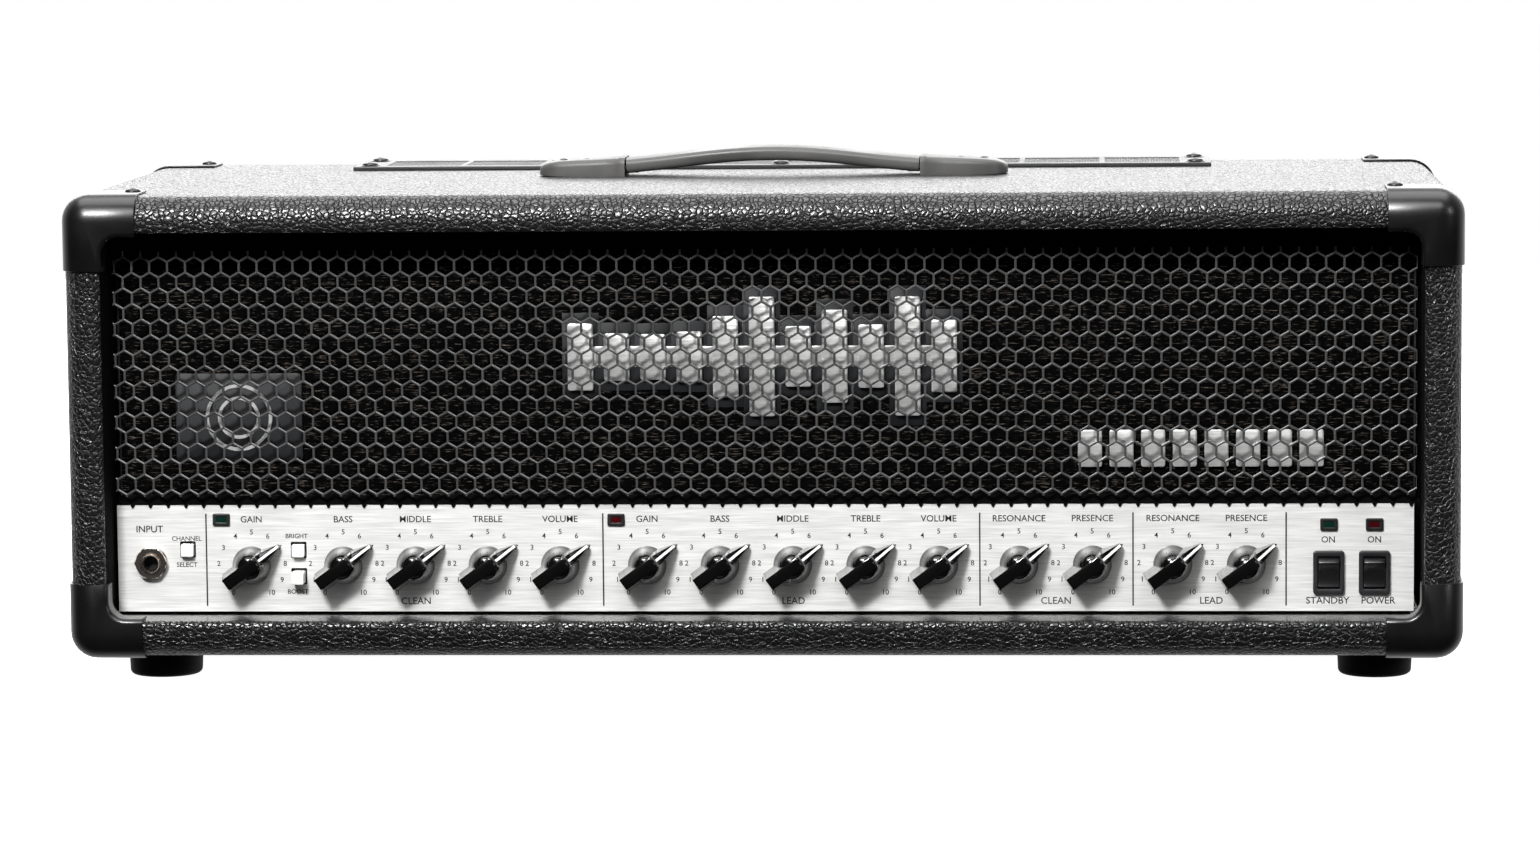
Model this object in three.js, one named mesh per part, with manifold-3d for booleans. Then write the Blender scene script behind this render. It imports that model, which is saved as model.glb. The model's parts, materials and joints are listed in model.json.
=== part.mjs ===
// Valve guitar amplifier head: a vinyl-covered plywood cabinet with eight plastic corner
// protectors, a control panel and hexagon grille in front, a strap handle and a vent on top,
// and a steel chassis inside that carries the transformers, valves, circuit board and sockets.
// Millimetres, +Z up. The origin is on the surface that the rubber feet stand on, under the
// middle of the cabinet. The front faces -Y, and +X is to the right as seen from the front.

import * as THREE from "three";
import { mergeVertices } from "three/addons/utils/BufferGeometryUtils.js";
import Module from "manifold-3d";

const wasm = await Module();
wasm.setup();

// ---------------------------------------------------------------- driving dimensions

const cabinet = { width: 669.6, depth: 278, bottom: 13.6, top: 236.9, wall: 18, edge: 12 };
const guard = { reach: 37, proud: 1.2, gap: 0.3, lip: 1.4, lipDepth: 12, innerRadius: 8 };
const foot = { radius: 18.5, x: 295.5, y: 93 };
const recess = 27.8;                       // control panel behind the front of the protectors
const panel = { centreX: -0.9, width: 628.3, bottom: 33, top: 85, thick: 1.5 };
const chassis = { width: 626, rear: 118, bottom: 32.2, top: 85, wall: 1.5, flange: 3.5 };
const grille = { width: 628.4, bottom: 86.5, top: 216, front: 5.6, thick: 1.2 };
const backing = { behind: 12, thick: 3 };  // cloth board, measured from the grille's front
const dialZ = 55.7;                        // height of the knob and selector axes
const knob = { radius: 9.4, height: 16, tip: 17, tail: 14.2, blade: 6, shaft: 3, gap: 0.8 };
const knobRest = THREE.MathUtils.degToRad(54);
const knobPitch = 35.3;
const button = { size: 6.1, hole: 7.2, length: 17.4, pressed: 3.5, released: 7.5 };
const rocker = { width: 10, radius: 7.7, face: 3, tilt: THREE.MathUtils.degToRad(10), z: 51.7 };
const bezel = { width: 15, height: 21.3, proud: 2, windowX: 10.7, windowZ: 15.8, depth: 16 };
const lamp = { width: 8.4, height: 5.9, proud: 1.2 };
const jack = { x: -298.5, z: 57, bore: 3.9, sleeve: 4.9, washer: 8, nut: 7.3, body: 18, depth: 28 };
const vent = { width: 441.5, depth: 58, thick: 2, front: 70, centreX: -0.8, screwInset: 8 };
const handle = { centreX: -1.2, y: 21, span: 236.2, cap: 43.8, capWidth: 30, capHeight: 9.4 };
const strap = { width: 24, thick: 7.4, low: 4.4, rise: 6.9, tongue: 3, clear: 0.7 };
const rear = { z: 58, socketPitch: 34, sockets: 6, socketX: -40, bore: 3.6, proud: 1 };
const socketBar = { margin: 12, height: 16, depth: 16, boreDepth: 14 };

const halfWidth = cabinet.width / 2;
const halfDepth = cabinet.depth / 2;
const cabinetHeight = cabinet.top - cabinet.bottom;
const cabinetMidZ = (cabinet.top + cabinet.bottom) / 2;
const openingWidth = cabinet.width - 2 * cabinet.wall;
const openingHeight = cabinetHeight - 2 * cabinet.wall;
const openingBottom = cabinet.bottom + cabinet.wall;
const openingTop = cabinet.top - cabinet.wall;
const guardFront = -(halfDepth + guard.proud);
const panelFront = guardFront + recess;
const panelBack = panelFront + panel.thick;
const grilleFront = panelFront - grille.front;
const potFace = panelBack + 7;             // front of the potentiometers
const boardFace = potFace + 16;            // front of the upright circuit board
const switchFace = panelFront + 14.4;      // front of the push switches

// ---------------------------------------------------------------- finishes

const vinyl = { color: 0x17181a, roughness: 0.62, metalness: 0 };
const mouldedPlastic = { color: 0x101113, roughness: 0.42, metalness: 0 };
const rubber = { color: 0x0c0c0c, roughness: 0.85, metalness: 0 };
const blackSteel = { color: 0x1c1c1e, roughness: 0.45, metalness: 0.6 };
const cloth = { color: 0x0b0b0c, roughness: 0.95, metalness: 0 };
const brightMetal = { color: 0xc9cacb, roughness: 0.32, metalness: 1 };
const brushedAluminium = { color: 0xd6d7d6, roughness: 0.38, metalness: 0.9 };
const platedSteel = { color: 0x9b9da0, roughness: 0.4, metalness: 1 };
const greenBoard = { color: 0x1f5a35, roughness: 0.6, metalness: 0 };
const glossBlack = { color: 0x0a0a0b, roughness: 0.18, metalness: 0 };
const whitePlastic = { color: 0xece9e2, roughness: 0.4, metalness: 0 };
const glass = { color: 0xb9c2c4, roughness: 0.08, metalness: 0 };

// ---------------------------------------------------------------- solids

const axes = {
  X: new THREE.Matrix4().makeBasis(
    new THREE.Vector3(0, 1, 0), new THREE.Vector3(0, 0, 1), new THREE.Vector3(1, 0, 0)),
  Y: new THREE.Matrix4().makeBasis(
    new THREE.Vector3(1, 0, 0), new THREE.Vector3(0, 0, 1), new THREE.Vector3(0, -1, 0)),
  Z: new THREE.Matrix4(),
};

// Turns a closed three.js geometry into a solid for joining and cutting.
function solid(geometry) {
  const bare = geometry.clone();
  bare.deleteAttribute("normal");
  bare.deleteAttribute("uv");
  const merged = mergeVertices(bare, 1e-4);
  const corners = merged.index.array;
  const kept = [];
  for (let i = 0; i < corners.length; i += 3) {
    const [a, b, c] = corners.slice(i, i + 3);
    if (a !== b && b !== c && c !== a) kept.push(a, b, c);
  }
  const vertProperties = merged.attributes.position.array;
  const triVerts = Uint32Array.from(kept);
  return new wasm.Manifold(new wasm.Mesh({ numProp: 3, vertProperties, triVerts }));
}

function block(x0, x1, y0, y1, z0, z1) {
  const shape = new THREE.BoxGeometry(x1 - x0, y1 - y0, z1 - z0);
  shape.translate((x0 + x1) / 2, (y0 + y1) / 2, (z0 + z1) / 2);
  return solid(shape);
}

// Extrudes an outline along an axis, from one place on that axis to another. The outline's
// own x and y are (Y, Z) for axis X, (X, Z) for axis Y and (X, Y) for axis Z.
function prism(axis, outline, from, to, curveSegments = 2) {
  const shape = new THREE.ExtrudeGeometry(outline, {
    depth: to - from, bevelEnabled: false, curveSegments,
  });
  shape.applyMatrix4(axes[axis]);
  const start = axis === "Y" ? to : from;
  shape.translate(axis === "X" ? start : 0, axis === "Y" ? start : 0, axis === "Z" ? start : 0);
  return solid(shape);
}

function roundedRect(width, height, radius, x = 0, y = 0) {
  const [w, h] = [width / 2 - radius, height / 2 - radius];
  const outline = new THREE.Shape();
  outline.absarc(x + w, y - h, radius, -Math.PI / 2, 0);
  outline.absarc(x + w, y + h, radius, 0, Math.PI / 2);
  outline.absarc(x - w, y + h, radius, Math.PI / 2, Math.PI);
  outline.absarc(x - w, y - h, radius, Math.PI, 1.5 * Math.PI);
  outline.closePath();
  return outline;
}

function polygon(points) {
  return new THREE.Shape(points.map(([x, y]) => new THREE.Vector2(x, y)));
}

// A box with every edge rounded, where three rounded prisms meet.
function roundedBox(width, depth, height, radius, middleZ) {
  const [w, d, h] = [width / 2, depth / 2, height / 2];
  const alongX = prism("X", roundedRect(depth, height, radius, 0, middleZ), -w, w);
  const alongY = prism("Y", roundedRect(width, height, radius, 0, middleZ), -d, d);
  const alongZ = prism("Z", roundedRect(width, depth, radius), middleZ - h, middleZ + h);
  return alongX.intersect(alongY).intersect(alongZ);
}

// Turns a profile of [radius, height] points about an axis: "up" is +Z, "front" is -Y and
// "rear" is +Y. The heights are measured from the point given.
function turned(profile, segments, facing, x, y, z) {
  const points = profile.map(([radius, height]) => new THREE.Vector2(radius, height));
  const shape = new THREE.LatheGeometry(points, segments);
  if (facing === "up") shape.rotateX(Math.PI / 2);
  if (facing === "front") shape.rotateZ(Math.PI);
  shape.translate(x, y, z);
  return solid(shape);
}

function rod(radius, length, segments, facing, x, y, z) {
  return turned([[0, 0], [radius, 0], [radius, length], [0, length]], segments, facing, x, y, z);
}

function joined(pieces) {
  return pieces.reduce((whole, piece) => whole.add(piece));
}

const head = new THREE.Group();

function addPart(name, shape, finish, parent = head) {
  const { vertProperties, triVerts } = shape.getMesh();
  const geometry = new THREE.BufferGeometry();
  geometry.setAttribute("position", new THREE.BufferAttribute(vertProperties, 3));
  geometry.setIndex(new THREE.BufferAttribute(triVerts, 1));
  geometry.computeVertexNormals();
  const mesh = new THREE.Mesh(geometry, new THREE.MeshStandardMaterial(finish));
  mesh.name = name;
  parent.add(mesh);
  return mesh;
}

// ---------------------------------------------------------------- cabinet

const sides = [["left", -1], ["right", 1]];
const ends = [["front", -1], ["rear", 1]];
const levels = [["bottom", -1], ["top", 1]];

// Slots routed through the top panel under the vent plate, with ribs left between them.
function ventSlots() {
  const slots = 6;
  const slotLength = 62;
  const rib = 10;
  const slotWidth = vent.depth - 2 * vent.screwInset - 8;
  const y = vent.front + vent.depth / 2;
  const cuts = [];
  for (let i = 0; i < slots; i += 1) {
    const x = vent.centreX + (i - (slots - 1) / 2) * (slotLength + rib);
    const outline = roundedRect(slotLength, slotWidth, 6, x, y);
    cuts.push(prism("Z", outline, openingTop - 1, cabinet.top + 1, 1));
  }
  return joined(cuts);
}

// Four plywood panels: top and bottom run the full width, the sides stand between them, and
// each joint keeps a glue line. All outer edges are rounded before the vinyl goes on.
function addCabinet() {
  const outer = roundedBox(cabinet.width, cabinet.depth, cabinetHeight, cabinet.edge, cabinetMidZ);
  const big = cabinet.width;
  const slab = (z0, z1) => block(-big, big, -big, big, z0, z1);
  addPart("top_panel", outer.intersect(slab(openingTop, big)).subtract(ventSlots()), vinyl);
  addPart("bottom_panel", outer.intersect(slab(-big, openingBottom)), vinyl);
  const opening = block(-openingWidth / 2, openingWidth / 2, -big, big, -big, big);
  const between = slab(openingBottom + guard.gap, openingTop - guard.gap);
  const middle = outer.subtract(opening).intersect(between);
  for (const [side, sx] of sides) {
    const half = block(Math.min(0, sx * big), Math.max(0, sx * big), -big, big, -big, big);
    addPart(`${side}_side_panel`, middle.intersect(half), vinyl);
  }
}

// A moulded shell over each outer corner of the cabinet. It stands a little proud of the
// vinyl and turns into the front or rear opening as a lip with a rounded inner corner. The
// bottom ones are notched around the feet.
function addCornerProtectors() {
  const grow = 2 * guard.proud;
  const outer = roundedBox(cabinet.width + grow, cabinet.depth + grow, cabinetHeight + grow,
    cabinet.edge + guard.proud, cabinetMidZ);
  const room = 2 * guard.gap;
  const inner = roundedBox(cabinet.width + room, cabinet.depth + room, cabinetHeight + room,
    cabinet.edge + guard.gap, cabinetMidZ);
  const clear = openingWidth - room;
  const clearHeight = openingHeight - room;
  const tunnel = prism("Y", roundedRect(clear, clearHeight, 0.5, 0, cabinetMidZ), -200, 200, 1);
  const throat = prism("Y", roundedRect(clear - 2 * guard.lip, clearHeight - 2 * guard.lip,
    guard.innerRadius, 0, cabinetMidZ), -200, 200);
  const lipZone = block(-400, 400, -150, -halfDepth + guard.lipDepth, 0, 300)
    .add(block(-400, 400, halfDepth - guard.lipDepth, 150, 0, 300));
  const cover = outer.subtract(inner).subtract(throat);
  const lips = tunnel.subtract(throat).intersect(lipZone).intersect(outer);
  const shell = cover.add(lips);
  const [edgeX, edgeY, edgeZ] = [halfWidth, halfDepth, cabinetHeight / 2]
    .map((half) => half + guard.proud);
  for (const [level, sz] of levels) {
    for (const [end, sy] of ends) {
      for (const [side, sx] of sides) {
        const span = (sign, edge, middle = 0) => {
          const reach = [sign * edge, sign * (edge - guard.reach)].map((v) => v + middle);
          return [Math.min(...reach), Math.max(...reach)];
        };
        const zone = block(...span(sx, edgeX), ...span(sy, edgeY), ...span(sz, edgeZ, cabinetMidZ));
        let corner = shell.intersect(zone);
        if (level === "bottom") {
          const notch = rod(foot.radius + 0.5, 30, 24, "up", sx * foot.x, sy * foot.y, -1);
          corner = corner.subtract(notch);
        }
        addPart(`corner_${level}_${end}_${side}`, corner, mouldedPlastic);
      }
    }
  }
}

function addFeet() {
  const { radius } = foot;
  const profile = [[0, 0], [radius - 4, 0], [radius - 1.6, 0.9], [radius - 0.7, 3],
    [radius, cabinet.bottom], [0, cabinet.bottom]];
  for (const [end, sy] of ends) {
    for (const [side, sx] of sides) {
      const shape = turned(profile, 20, "up", sx * foot.x, sy * foot.y, 0);
      addPart(`foot_${end}_${side}`, shape, rubber);
    }
  }
}

// ---------------------------------------------------------------- front

// Steel sheet with a hexagon pattern, modelled as a plain sheet, and a cloth-covered board
// some way behind it.
function addGrille() {
  const w = grille.width / 2;
  const sheet = block(-w, w, grilleFront, grilleFront + grille.thick, grille.bottom, grille.top);
  addPart("front_grille", sheet, blackSteel);
  const y = grilleFront + backing.behind;
  addPart("grille_backing", block(-w, w, y, y + backing.thick, grille.bottom, grille.top), cloth);
}

// A row of level-meter bars on a thin carrier, between the grille and the cloth.
function addCentreEmblem() {
  const pitch = 17.6;
  const barWidth = 12.4;
  const middleZ = 156.5;
  const shortest = 11;
  const growth = 18;
  const outermost = 5;
  const y = grilleFront + backing.behind;
  const reach = pitch * outermost;
  const pieces = [block(-reach, reach, y - 2, y, middleZ - 5, middleZ + 5)];
  for (let i = -outermost; i <= outermost; i += 1) {
    const [x0, x1] = [i * pitch - barWidth / 2, i * pitch + barWidth / 2];
    const swing = 0.5 + 0.5 * Math.cos(1.9 * i + 0.3 * i ** 2);
    const half = shortest + growth * swing;
    pieces.push(block(x0, x1, y - 3.5, y - 1, middleZ - half, middleZ + half));
  }
  addPart("centre_emblem", joined(pieces), brightMetal);
}

const knobs = [
  { group: "clean", start: -249.3, names: ["gain"] },
  { group: "clean", start: -204.4, names: ["bass", "middle", "treble", "volume"] },
  { group: "lead", start: -56.2, names: ["gain"] },
  { group: "lead", start: -20.9, names: ["bass", "middle", "treble", "volume"] },
  { group: "clean", start: 123.7, names: ["resonance", "presence"] },
  { group: "lead", start: 197.7, names: ["resonance", "presence"] },
].flatMap(({ group, start, names }) => names.map(
  (name, i) => ({ name: `${group}_${name}_knob`, x: start + i * knobPitch })));

const buttons = [
  { name: "channel_button", x: -280.6, z: 63.2, out: button.pressed },
  { name: "bright_button", x: -226.3, z: 62.9, out: button.pressed },
  { name: "boost_button", x: -226.2, z: 50, out: button.released },
];
const lamps = [
  { name: "clean_lamp", x: -263.9, z: 78.1 },
  { name: "lead_lamp", x: -71.2, z: 77.8 },
  { name: "standby_lamp", x: 272.6, z: 75 },
  { name: "power_lamp", x: 294.4, z: 75 },
];
const rockers = [
  { name: "standby_switch", x: 272.5 },
  { name: "power_switch", x: 294.4 },
];

// Aluminium face plate, with a hole for each thing that is mounted through it.
function addControlPanel() {
  const w = panel.width / 2;
  const [x0, x1] = [panel.centreX - w, panel.centreX + w];
  const [y0, y1] = [panelFront - 1, panelBack + 1];
  const clearance = 1.7;
  const cuts = [rod(jack.sleeve + guard.gap, y1 - y0, 16, "front", jack.x, y1, jack.z)];
  for (const { x } of knobs) {
    cuts.push(rod(knob.shaft + clearance, y1 - y0, 10, "front", x, y1, dialZ));
  }
  const slot = (x, z, w, h) => block(x - w / 2, x + w / 2, y0, y1, z - h / 2, z + h / 2);
  for (const { x, z } of buttons) cuts.push(slot(x, z, button.hole, button.hole));
  for (const { x, z } of lamps) cuts.push(slot(x, z, lamp.width - 1.4, lamp.height - 1.4));
  for (const { x } of rockers) cuts.push(slot(x, rocker.z, bezel.width - 1.6, bezel.height - 2));
  const plate = block(x0, x1, panelFront, panelBack, panel.bottom, panel.top);
  addPart("control_panel", plate.subtract(joined(cuts)), brushedAluminium);
}

// Pointer knob with its shaft: a round skirt that narrows upwards, crossed by a blade that
// runs from a square tail to a thin tip and slopes down towards the tip. It points up (+Z),
// with its skirt at y = 0.
function knobSolid() {
  const { radius, height, tip, tail, blade, shaft } = knob;
  const skirt = turned([[0, 0], [radius, 0], [radius - 0.6, 2], [radius - 2.4, 7],
    [radius - 3.4, height - 1], [0, height]], 12, "front", 0, 0, 0);
  const half = blade / 2;
  const plan = polygon([[-half, -tail], [half, -tail], [half + 0.3, 5], [0.5, tip], [-0.5, tip],
    [-half - 0.3, 5]]);
  const side = polygon([[-0.8, -tail], [-0.8, tip], [-3, tip], [-13.3, 7], [-height, 6.4],
    [-height, 1.5 - tail]]);
  const bladeSolid = prism("Y", plan, -height, -0.8).intersect(prism("X", side, -radius, radius));
  const shaftEnd = potFace - panelFront + knob.gap - 0.6;
  return joined([skirt, bladeSolid, rod(shaft, shaftEnd + 2, 8, "front", 0, shaftEnd, 0)]);
}

function addKnobs() {
  const shape = knobSolid();
  for (const { name, x } of knobs) {
    const mount = new THREE.Group();
    mount.position.set(x, panelFront - knob.gap, dialZ);
    mount.rotation.y = knobRest;
    head.add(mount);
    addPart(name, shape, glossBlack, mount);
  }
}

function addButtons() {
  const half = button.size / 2;
  for (const { name, x, z, out } of buttons) {
    const front = panelFront - out;
    const cap = block(x - half, x + half, front, front + button.length, z - half, z + half);
    addPart(name, cap, whitePlastic);
  }
}

// Indicator: a bezel on the face plate with a shallow pocket for the lens, and a body behind.
function addLamps() {
  for (const { name, x, z } of lamps) {
    const brick = (w, h, y0, y1) => block(x - w / 2, x + w / 2, y0, y1, z - h / 2, z + h / 2);
    const rim = brick(lamp.width, lamp.height, panelFront - lamp.proud, panelFront);
    const body = brick(lamp.width - 2, lamp.height - 2, panelFront - lamp.proud, panelFront + 8);
    const pocketFloor = panelFront - lamp.proud + 0.7;
    const pocket = brick(lamp.width - 3.4, lamp.height - 3, panelFront - 2, pocketFloor);
    addPart(name, rim.add(body).subtract(pocket), mouldedPlastic);
  }
}

// Rocker switch: a bezelled housing, and a rocker with a shallow valley across its face that
// turns about the X axis just inside the face plate. Its lower half is pressed in: off.
function addRockers() {
  const pivotY = panelFront + 0.9;
  const { width, radius, face, tilt, z } = rocker;
  for (const { name, x } of rockers) {
    const rim = prism("Y", roundedRect(bezel.width, bezel.height, 1, x, z), panelFront - bezel.proud,
      panelFront, 1);
    const [bw, bh] = [bezel.width / 2 - 1, bezel.height / 2 - 1.2];
    const back = panelFront + bezel.depth;
    const barrel = block(x - bw, x + bw, panelFront - 1, back, z - bh, z + bh);
    const [ww, wh] = [bezel.windowX / 2, bezel.windowZ / 2];
    const window = block(x - ww, x + ww, panelFront - 5, back - 2, z - wh, z + wh);
    addPart(`${name}_housing`, rim.add(barrel).subtract(window), mouldedPlastic);

    const end = Math.asin((face + 1.2) / radius);
    const low = Math.asin(-3 / radius);
    const outline = new THREE.Shape();
    outline.absarc(0, 0, radius, low, end);
    outline.lineTo(0, face);
    outline.absarc(0, 0, radius, Math.PI - end, Math.PI - low);
    outline.closePath();
    const lever = prism("X", outline, -width / 2, width / 2);
    const mount = new THREE.Group();
    mount.position.set(x, pivotY, z);
    mount.rotation.x = Math.PI / 2 + tilt;
    head.add(mount);
    addPart(`${name}_rocker`, lever, glossBlack, mount);
  }
}

// Quarter-inch socket: threaded sleeve with a washer and hexagon nut in front of the plate,
// and an insulated body behind the chassis, with a blind bore.
function addInputJack() {
  const { x, z, bore, sleeve, washer, nut, body, depth } = jack;
  const flange = rod(washer, 1, 24, "front", x, panelFront, z);
  const acrossCorners = 2 / Math.sqrt(3);
  const hexagon = rod(nut * acrossCorners, 2.6, 6, "front", x, panelFront - 1, z);
  const y = panelBack + guard.gap;
  const barrel = rod(sleeve, 9, 16, "front", x, y + 2, z);
  const half = body / 2;
  const housing = block(x - half, x + half, y, y + depth, z - half, z + half);
  const hole = rod(bore, 40, 16, "front", x, y + depth - 2, z);
  addPart("input_jack", joined([flange, hexagon, barrel, housing]).subtract(hole), platedSteel);
}

// ---------------------------------------------------------------- top

// Perforated steel vent plate, modelled as a plain plate with its six dome-headed screws.
function addVentPlate() {
  const { width, depth, thick, front, centreX, screwInset } = vent;
  const [y0, y1] = [front, front + depth];
  const x = (sign) => centreX + sign * (width / 2 - screwInset);
  const [x0, x1] = [centreX - width / 2, centreX + width / 2];
  const pieces = [block(x0, x1, y0, y1, cabinet.top, cabinet.top + thick)];
  const dome = [[0, 0], [4.25, 0], [3.3, 1.2], [1.6, 1.9], [0, 2.1]];
  for (const screwX of [x(-1), centreX, x(1)]) {
    for (const screwY of [y0 + screwInset, y1 - screwInset]) {
      pieces.push(turned(dome, 12, "up", screwX, screwY, cabinet.top + thick));
    }
  }
  addPart("top_vent_plate", joined(pieces), blackSteel);
}

// Two moulded end caps, each hollow and open towards the strap, and a stiff strap bowed
// upwards between them whose thin ends lie loose inside the caps.
function addHandle() {
  const { centreX, y, span, cap, capWidth, capHeight } = handle;
  const floor = cabinet.top;
  const mouth = span / 2 - cap;
  for (const [side, sx] of sides) {
    const [near, far] = [centreX + sx * mouth, centreX + sx * (mouth + cap)];
    const [x0, x1] = [Math.min(near, far), Math.max(near, far)];
    const outline = roundedRect(cap, capWidth, 5, (x0 + x1) / 2, y);
    const square = block(Math.min(near, near + sx * 12), Math.max(near, near + sx * 12),
      y - capWidth / 2, y + capWidth / 2, floor, floor + capHeight);
    const body = prism("Z", outline, floor, floor + capHeight).add(square);
    const pocketEnd = near + sx * (cap - 10);
    const pocket = block(Math.min(near - sx, pocketEnd), Math.max(near - sx, pocketEnd),
      y - strap.width / 2 - 0.6, y + strap.width / 2 + 0.6, floor - 1, floor + capHeight - 1.8);
    addPart(`handle_cap_${side}`, body.subtract(pocket), mouldedPlastic);
  }

  const reach = mouth - strap.clear;
  const wave = 95;
  const steps = 14;
  const bow = (x) => 0.5 + 0.5 * Math.cos(Math.PI * x / wave);
  const heightAt = (x) => floor + strap.low + strap.rise * bow(x);
  const outline = new THREE.Shape();
  const edge = (i, side) => {
    const x = -reach + 2 * reach * i / steps;
    return [centreX + x, heightAt(x) + side * strap.thick / 2];
  };
  outline.moveTo(...edge(0, -1));
  for (let i = 1; i <= steps; i += 1) outline.lineTo(...edge(i, -1));
  for (let i = steps; i >= 0; i -= 1) outline.lineTo(...edge(i, 1));
  outline.closePath();
  const arch = prism("Y", outline, y - strap.width / 2, y + strap.width / 2);
  const tongueReach = mouth + cap - 16;
  const [z0, z1] = [floor + 1.6, floor + 1.6 + strap.tongue];
  const tongue = (x0, x1) => block(centreX + x0, centreX + x1, y - 9, y + 9, z0, z1);
  const tongues = [tongue(-tongueReach, 6 - reach), tongue(reach - 6, tongueReach)];
  addPart("handle_strap", joined([arch, ...tongues]), mouldedPlastic);
}

// ---------------------------------------------------------------- chassis and rear

const inlet = { x: 266, flangeX: 50, flangeZ: 24, bodyX: 28, bodyZ: 20.5, depth: 20, proud: 2.3 };
const well = { width: 24, height: 16.5, floor: 3, pin: 13 };
const selector = { x: 118, radius: 9, skirt: 7, height: 10, shaft: 3, gap: 0.5 };
const socketMiddle = (rear.sockets - 1) / 2;
const socketPlaces = Array.from({ length: rear.sockets },
  (_, i) => rear.socketX + (i - socketMiddle) * rear.socketPitch);
const barWidth = (rear.sockets - 1) * rear.socketPitch + 2 * socketBar.margin;

// A block on the rear wall: its middle, its width and height, and its depths.
function rearBlock(x, width, height, y0, y1, z = rear.z) {
  return block(x - width / 2, x + width / 2, y0, y1, z - height / 2, z + height / 2);
}

// Folded steel tray that carries everything electrical. It is open underneath and in front,
// where the face plate closes it below a narrow flange, and its rear wall has a window for
// each fitting.
function addChassis() {
  const w = chassis.width / 2;
  const [x0, x1] = [panel.centreX - w, panel.centreX + w];
  const { rear: back, bottom, top, wall, flange } = chassis;
  const outside = block(x0, x1, panelBack, back, bottom, top);
  const inside = block(x0 + wall, x1 - wall, panelBack + wall, back - wall, bottom - 1, top - wall);
  const front = block(x0 + wall, x1 - wall, panelBack - 1, 0, bottom - 1, top - flange);
  const [y0, y1] = [back - wall - 1, back + 1];
  const room = 2 * guard.gap;
  const cuts = [
    rearBlock(rear.socketX, barWidth + room, socketBar.height + room, y0, y1),
    rearBlock(inlet.x, inlet.bodyX + room, inlet.bodyZ + room, y0, y1),
    rod(selector.shaft + 1, y1 - y0, 8, "front", selector.x, y1, rear.z),
  ];
  addPart("chassis", outside.subtract(inside).subtract(front).subtract(joined(cuts)), blackSteel);
}

// Upright board behind the face plate with the potentiometers and push switches on it, and
// a main board along the bottom of the chassis.
function addCircuitBoard() {
  const thick = 1.6;
  const [bottom, top] = [36, 80];
  const [x0, x1] = [jack.x + 11, panel.centreX + 298];
  const pot = 17;
  const pushSwitch = 11;
  const y = boardFace + 1;
  const pieces = [
    block(x0, x1, boardFace, boardFace + thick, bottom, top),
    block(x0, x1, boardFace, 92, bottom, bottom + thick),
  ];
  for (const { x } of knobs) {
    pieces.push(block(x - pot / 2, x + pot / 2, potFace, y, dialZ - pot / 2, dialZ + pot / 2));
  }
  for (const { x, z } of buttons) {
    const half = pushSwitch / 2;
    pieces.push(block(x - half, x + half, switchFace, y, z - half, z + half));
  }
  addPart("circuit_board", joined(pieces), greenBoard);
}

// Laminated core between two end bells, standing on the chassis.
function transformer(x, y, width, stack, height) {
  const base = chassis.top;
  const bellReach = stack * 1.08;
  const bellSize = 0.74;
  const bell = roundedRect(width * bellSize, height * bellSize, 10, x, base + height / 2);
  const core = block(x - width / 2, x + width / 2, y - stack / 2, y + stack / 2, base, base + height);
  return core.add(prism("Y", bell, y - bellReach, y + bellReach));
}

// A row of valves plugged into one socket strip.
function valveRow({ count, pitch, x, y, margin, width, thick, profile, segments }) {
  const reach = (count - 1) / 2 * pitch;
  const top = chassis.top + thick;
  const pieces = [block(x - reach - margin, x + reach + margin, y - width / 2, y + width / 2,
    chassis.top, top)];
  for (let i = 0; i < count; i += 1) {
    pieces.push(turned(profile, segments, "up", x - reach + i * pitch, y, top));
  }
  return joined(pieces);
}

function addPowerSection() {
  addPart("mains_transformer", transformer(218, 20, 112, 44, 94), blackSteel);
  addPart("output_transformer", transformer(-222, 24, 90, 36, 76), blackSteel);
  addPart("power_valves", valveRow({
    count: 4, pitch: 52, x: 0, y: 58, margin: 26, width: 46, thick: 3, segments: 12,
    profile: [[0, 0], [16.5, 0], [16.5, 15], [18.2, 20], [18.2, 66], [14, 77], [5, 82], [0, 83]],
  }), glass);
  addPart("preamp_valves", valveRow({
    count: 7, pitch: 42, x: -10, y: -30, margin: 20, width: 28, thick: 2, segments: 10,
    profile: [[0, 0], [11, 0], [10.6, 40], [7, 48], [0, 51]],
  }), glass);
}

// Six quarter-inch sockets in one moulded bar that fills a window in the rear wall.
function addRearSockets() {
  const face = chassis.rear + rear.proud;
  const inner = chassis.rear - socketBar.depth;
  const bar = rearBlock(rear.socketX, barWidth, socketBar.height, inner, face);
  const bores = socketPlaces.map((x) => (
    rod(rear.bore, socketBar.boreDepth + 1, 8, "rear", x, face - socketBar.boreDepth, rear.z)));
  addPart("rear_sockets", bar.subtract(joined(bores)), mouldedPlastic);
}

// Mains inlet: a flanged body with a well, and three flat pins standing in the well.
function addMainsInlet() {
  const { x, flangeX, flangeZ, bodyX, bodyZ, depth } = inlet;
  const face = chassis.rear + inlet.proud;
  const floor = chassis.rear - depth + well.floor;
  const flange = rearBlock(x, flangeX, flangeZ, chassis.rear, face);
  const body = rearBlock(x, bodyX, bodyZ, chassis.rear - depth, face);
  const hollow = rearBlock(x, well.width, well.height, floor, face + 1);
  const pins = [[-7, 2], [7, 2], [0, -2]].map(([dx, dz]) => (
    rearBlock(x + dx, 2, 4, floor - 1, floor + well.pin, rear.z + dz)));
  addPart("mains_inlet", flange.add(body).subtract(hollow).add(joined(pins)), mouldedPlastic);
}

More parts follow.
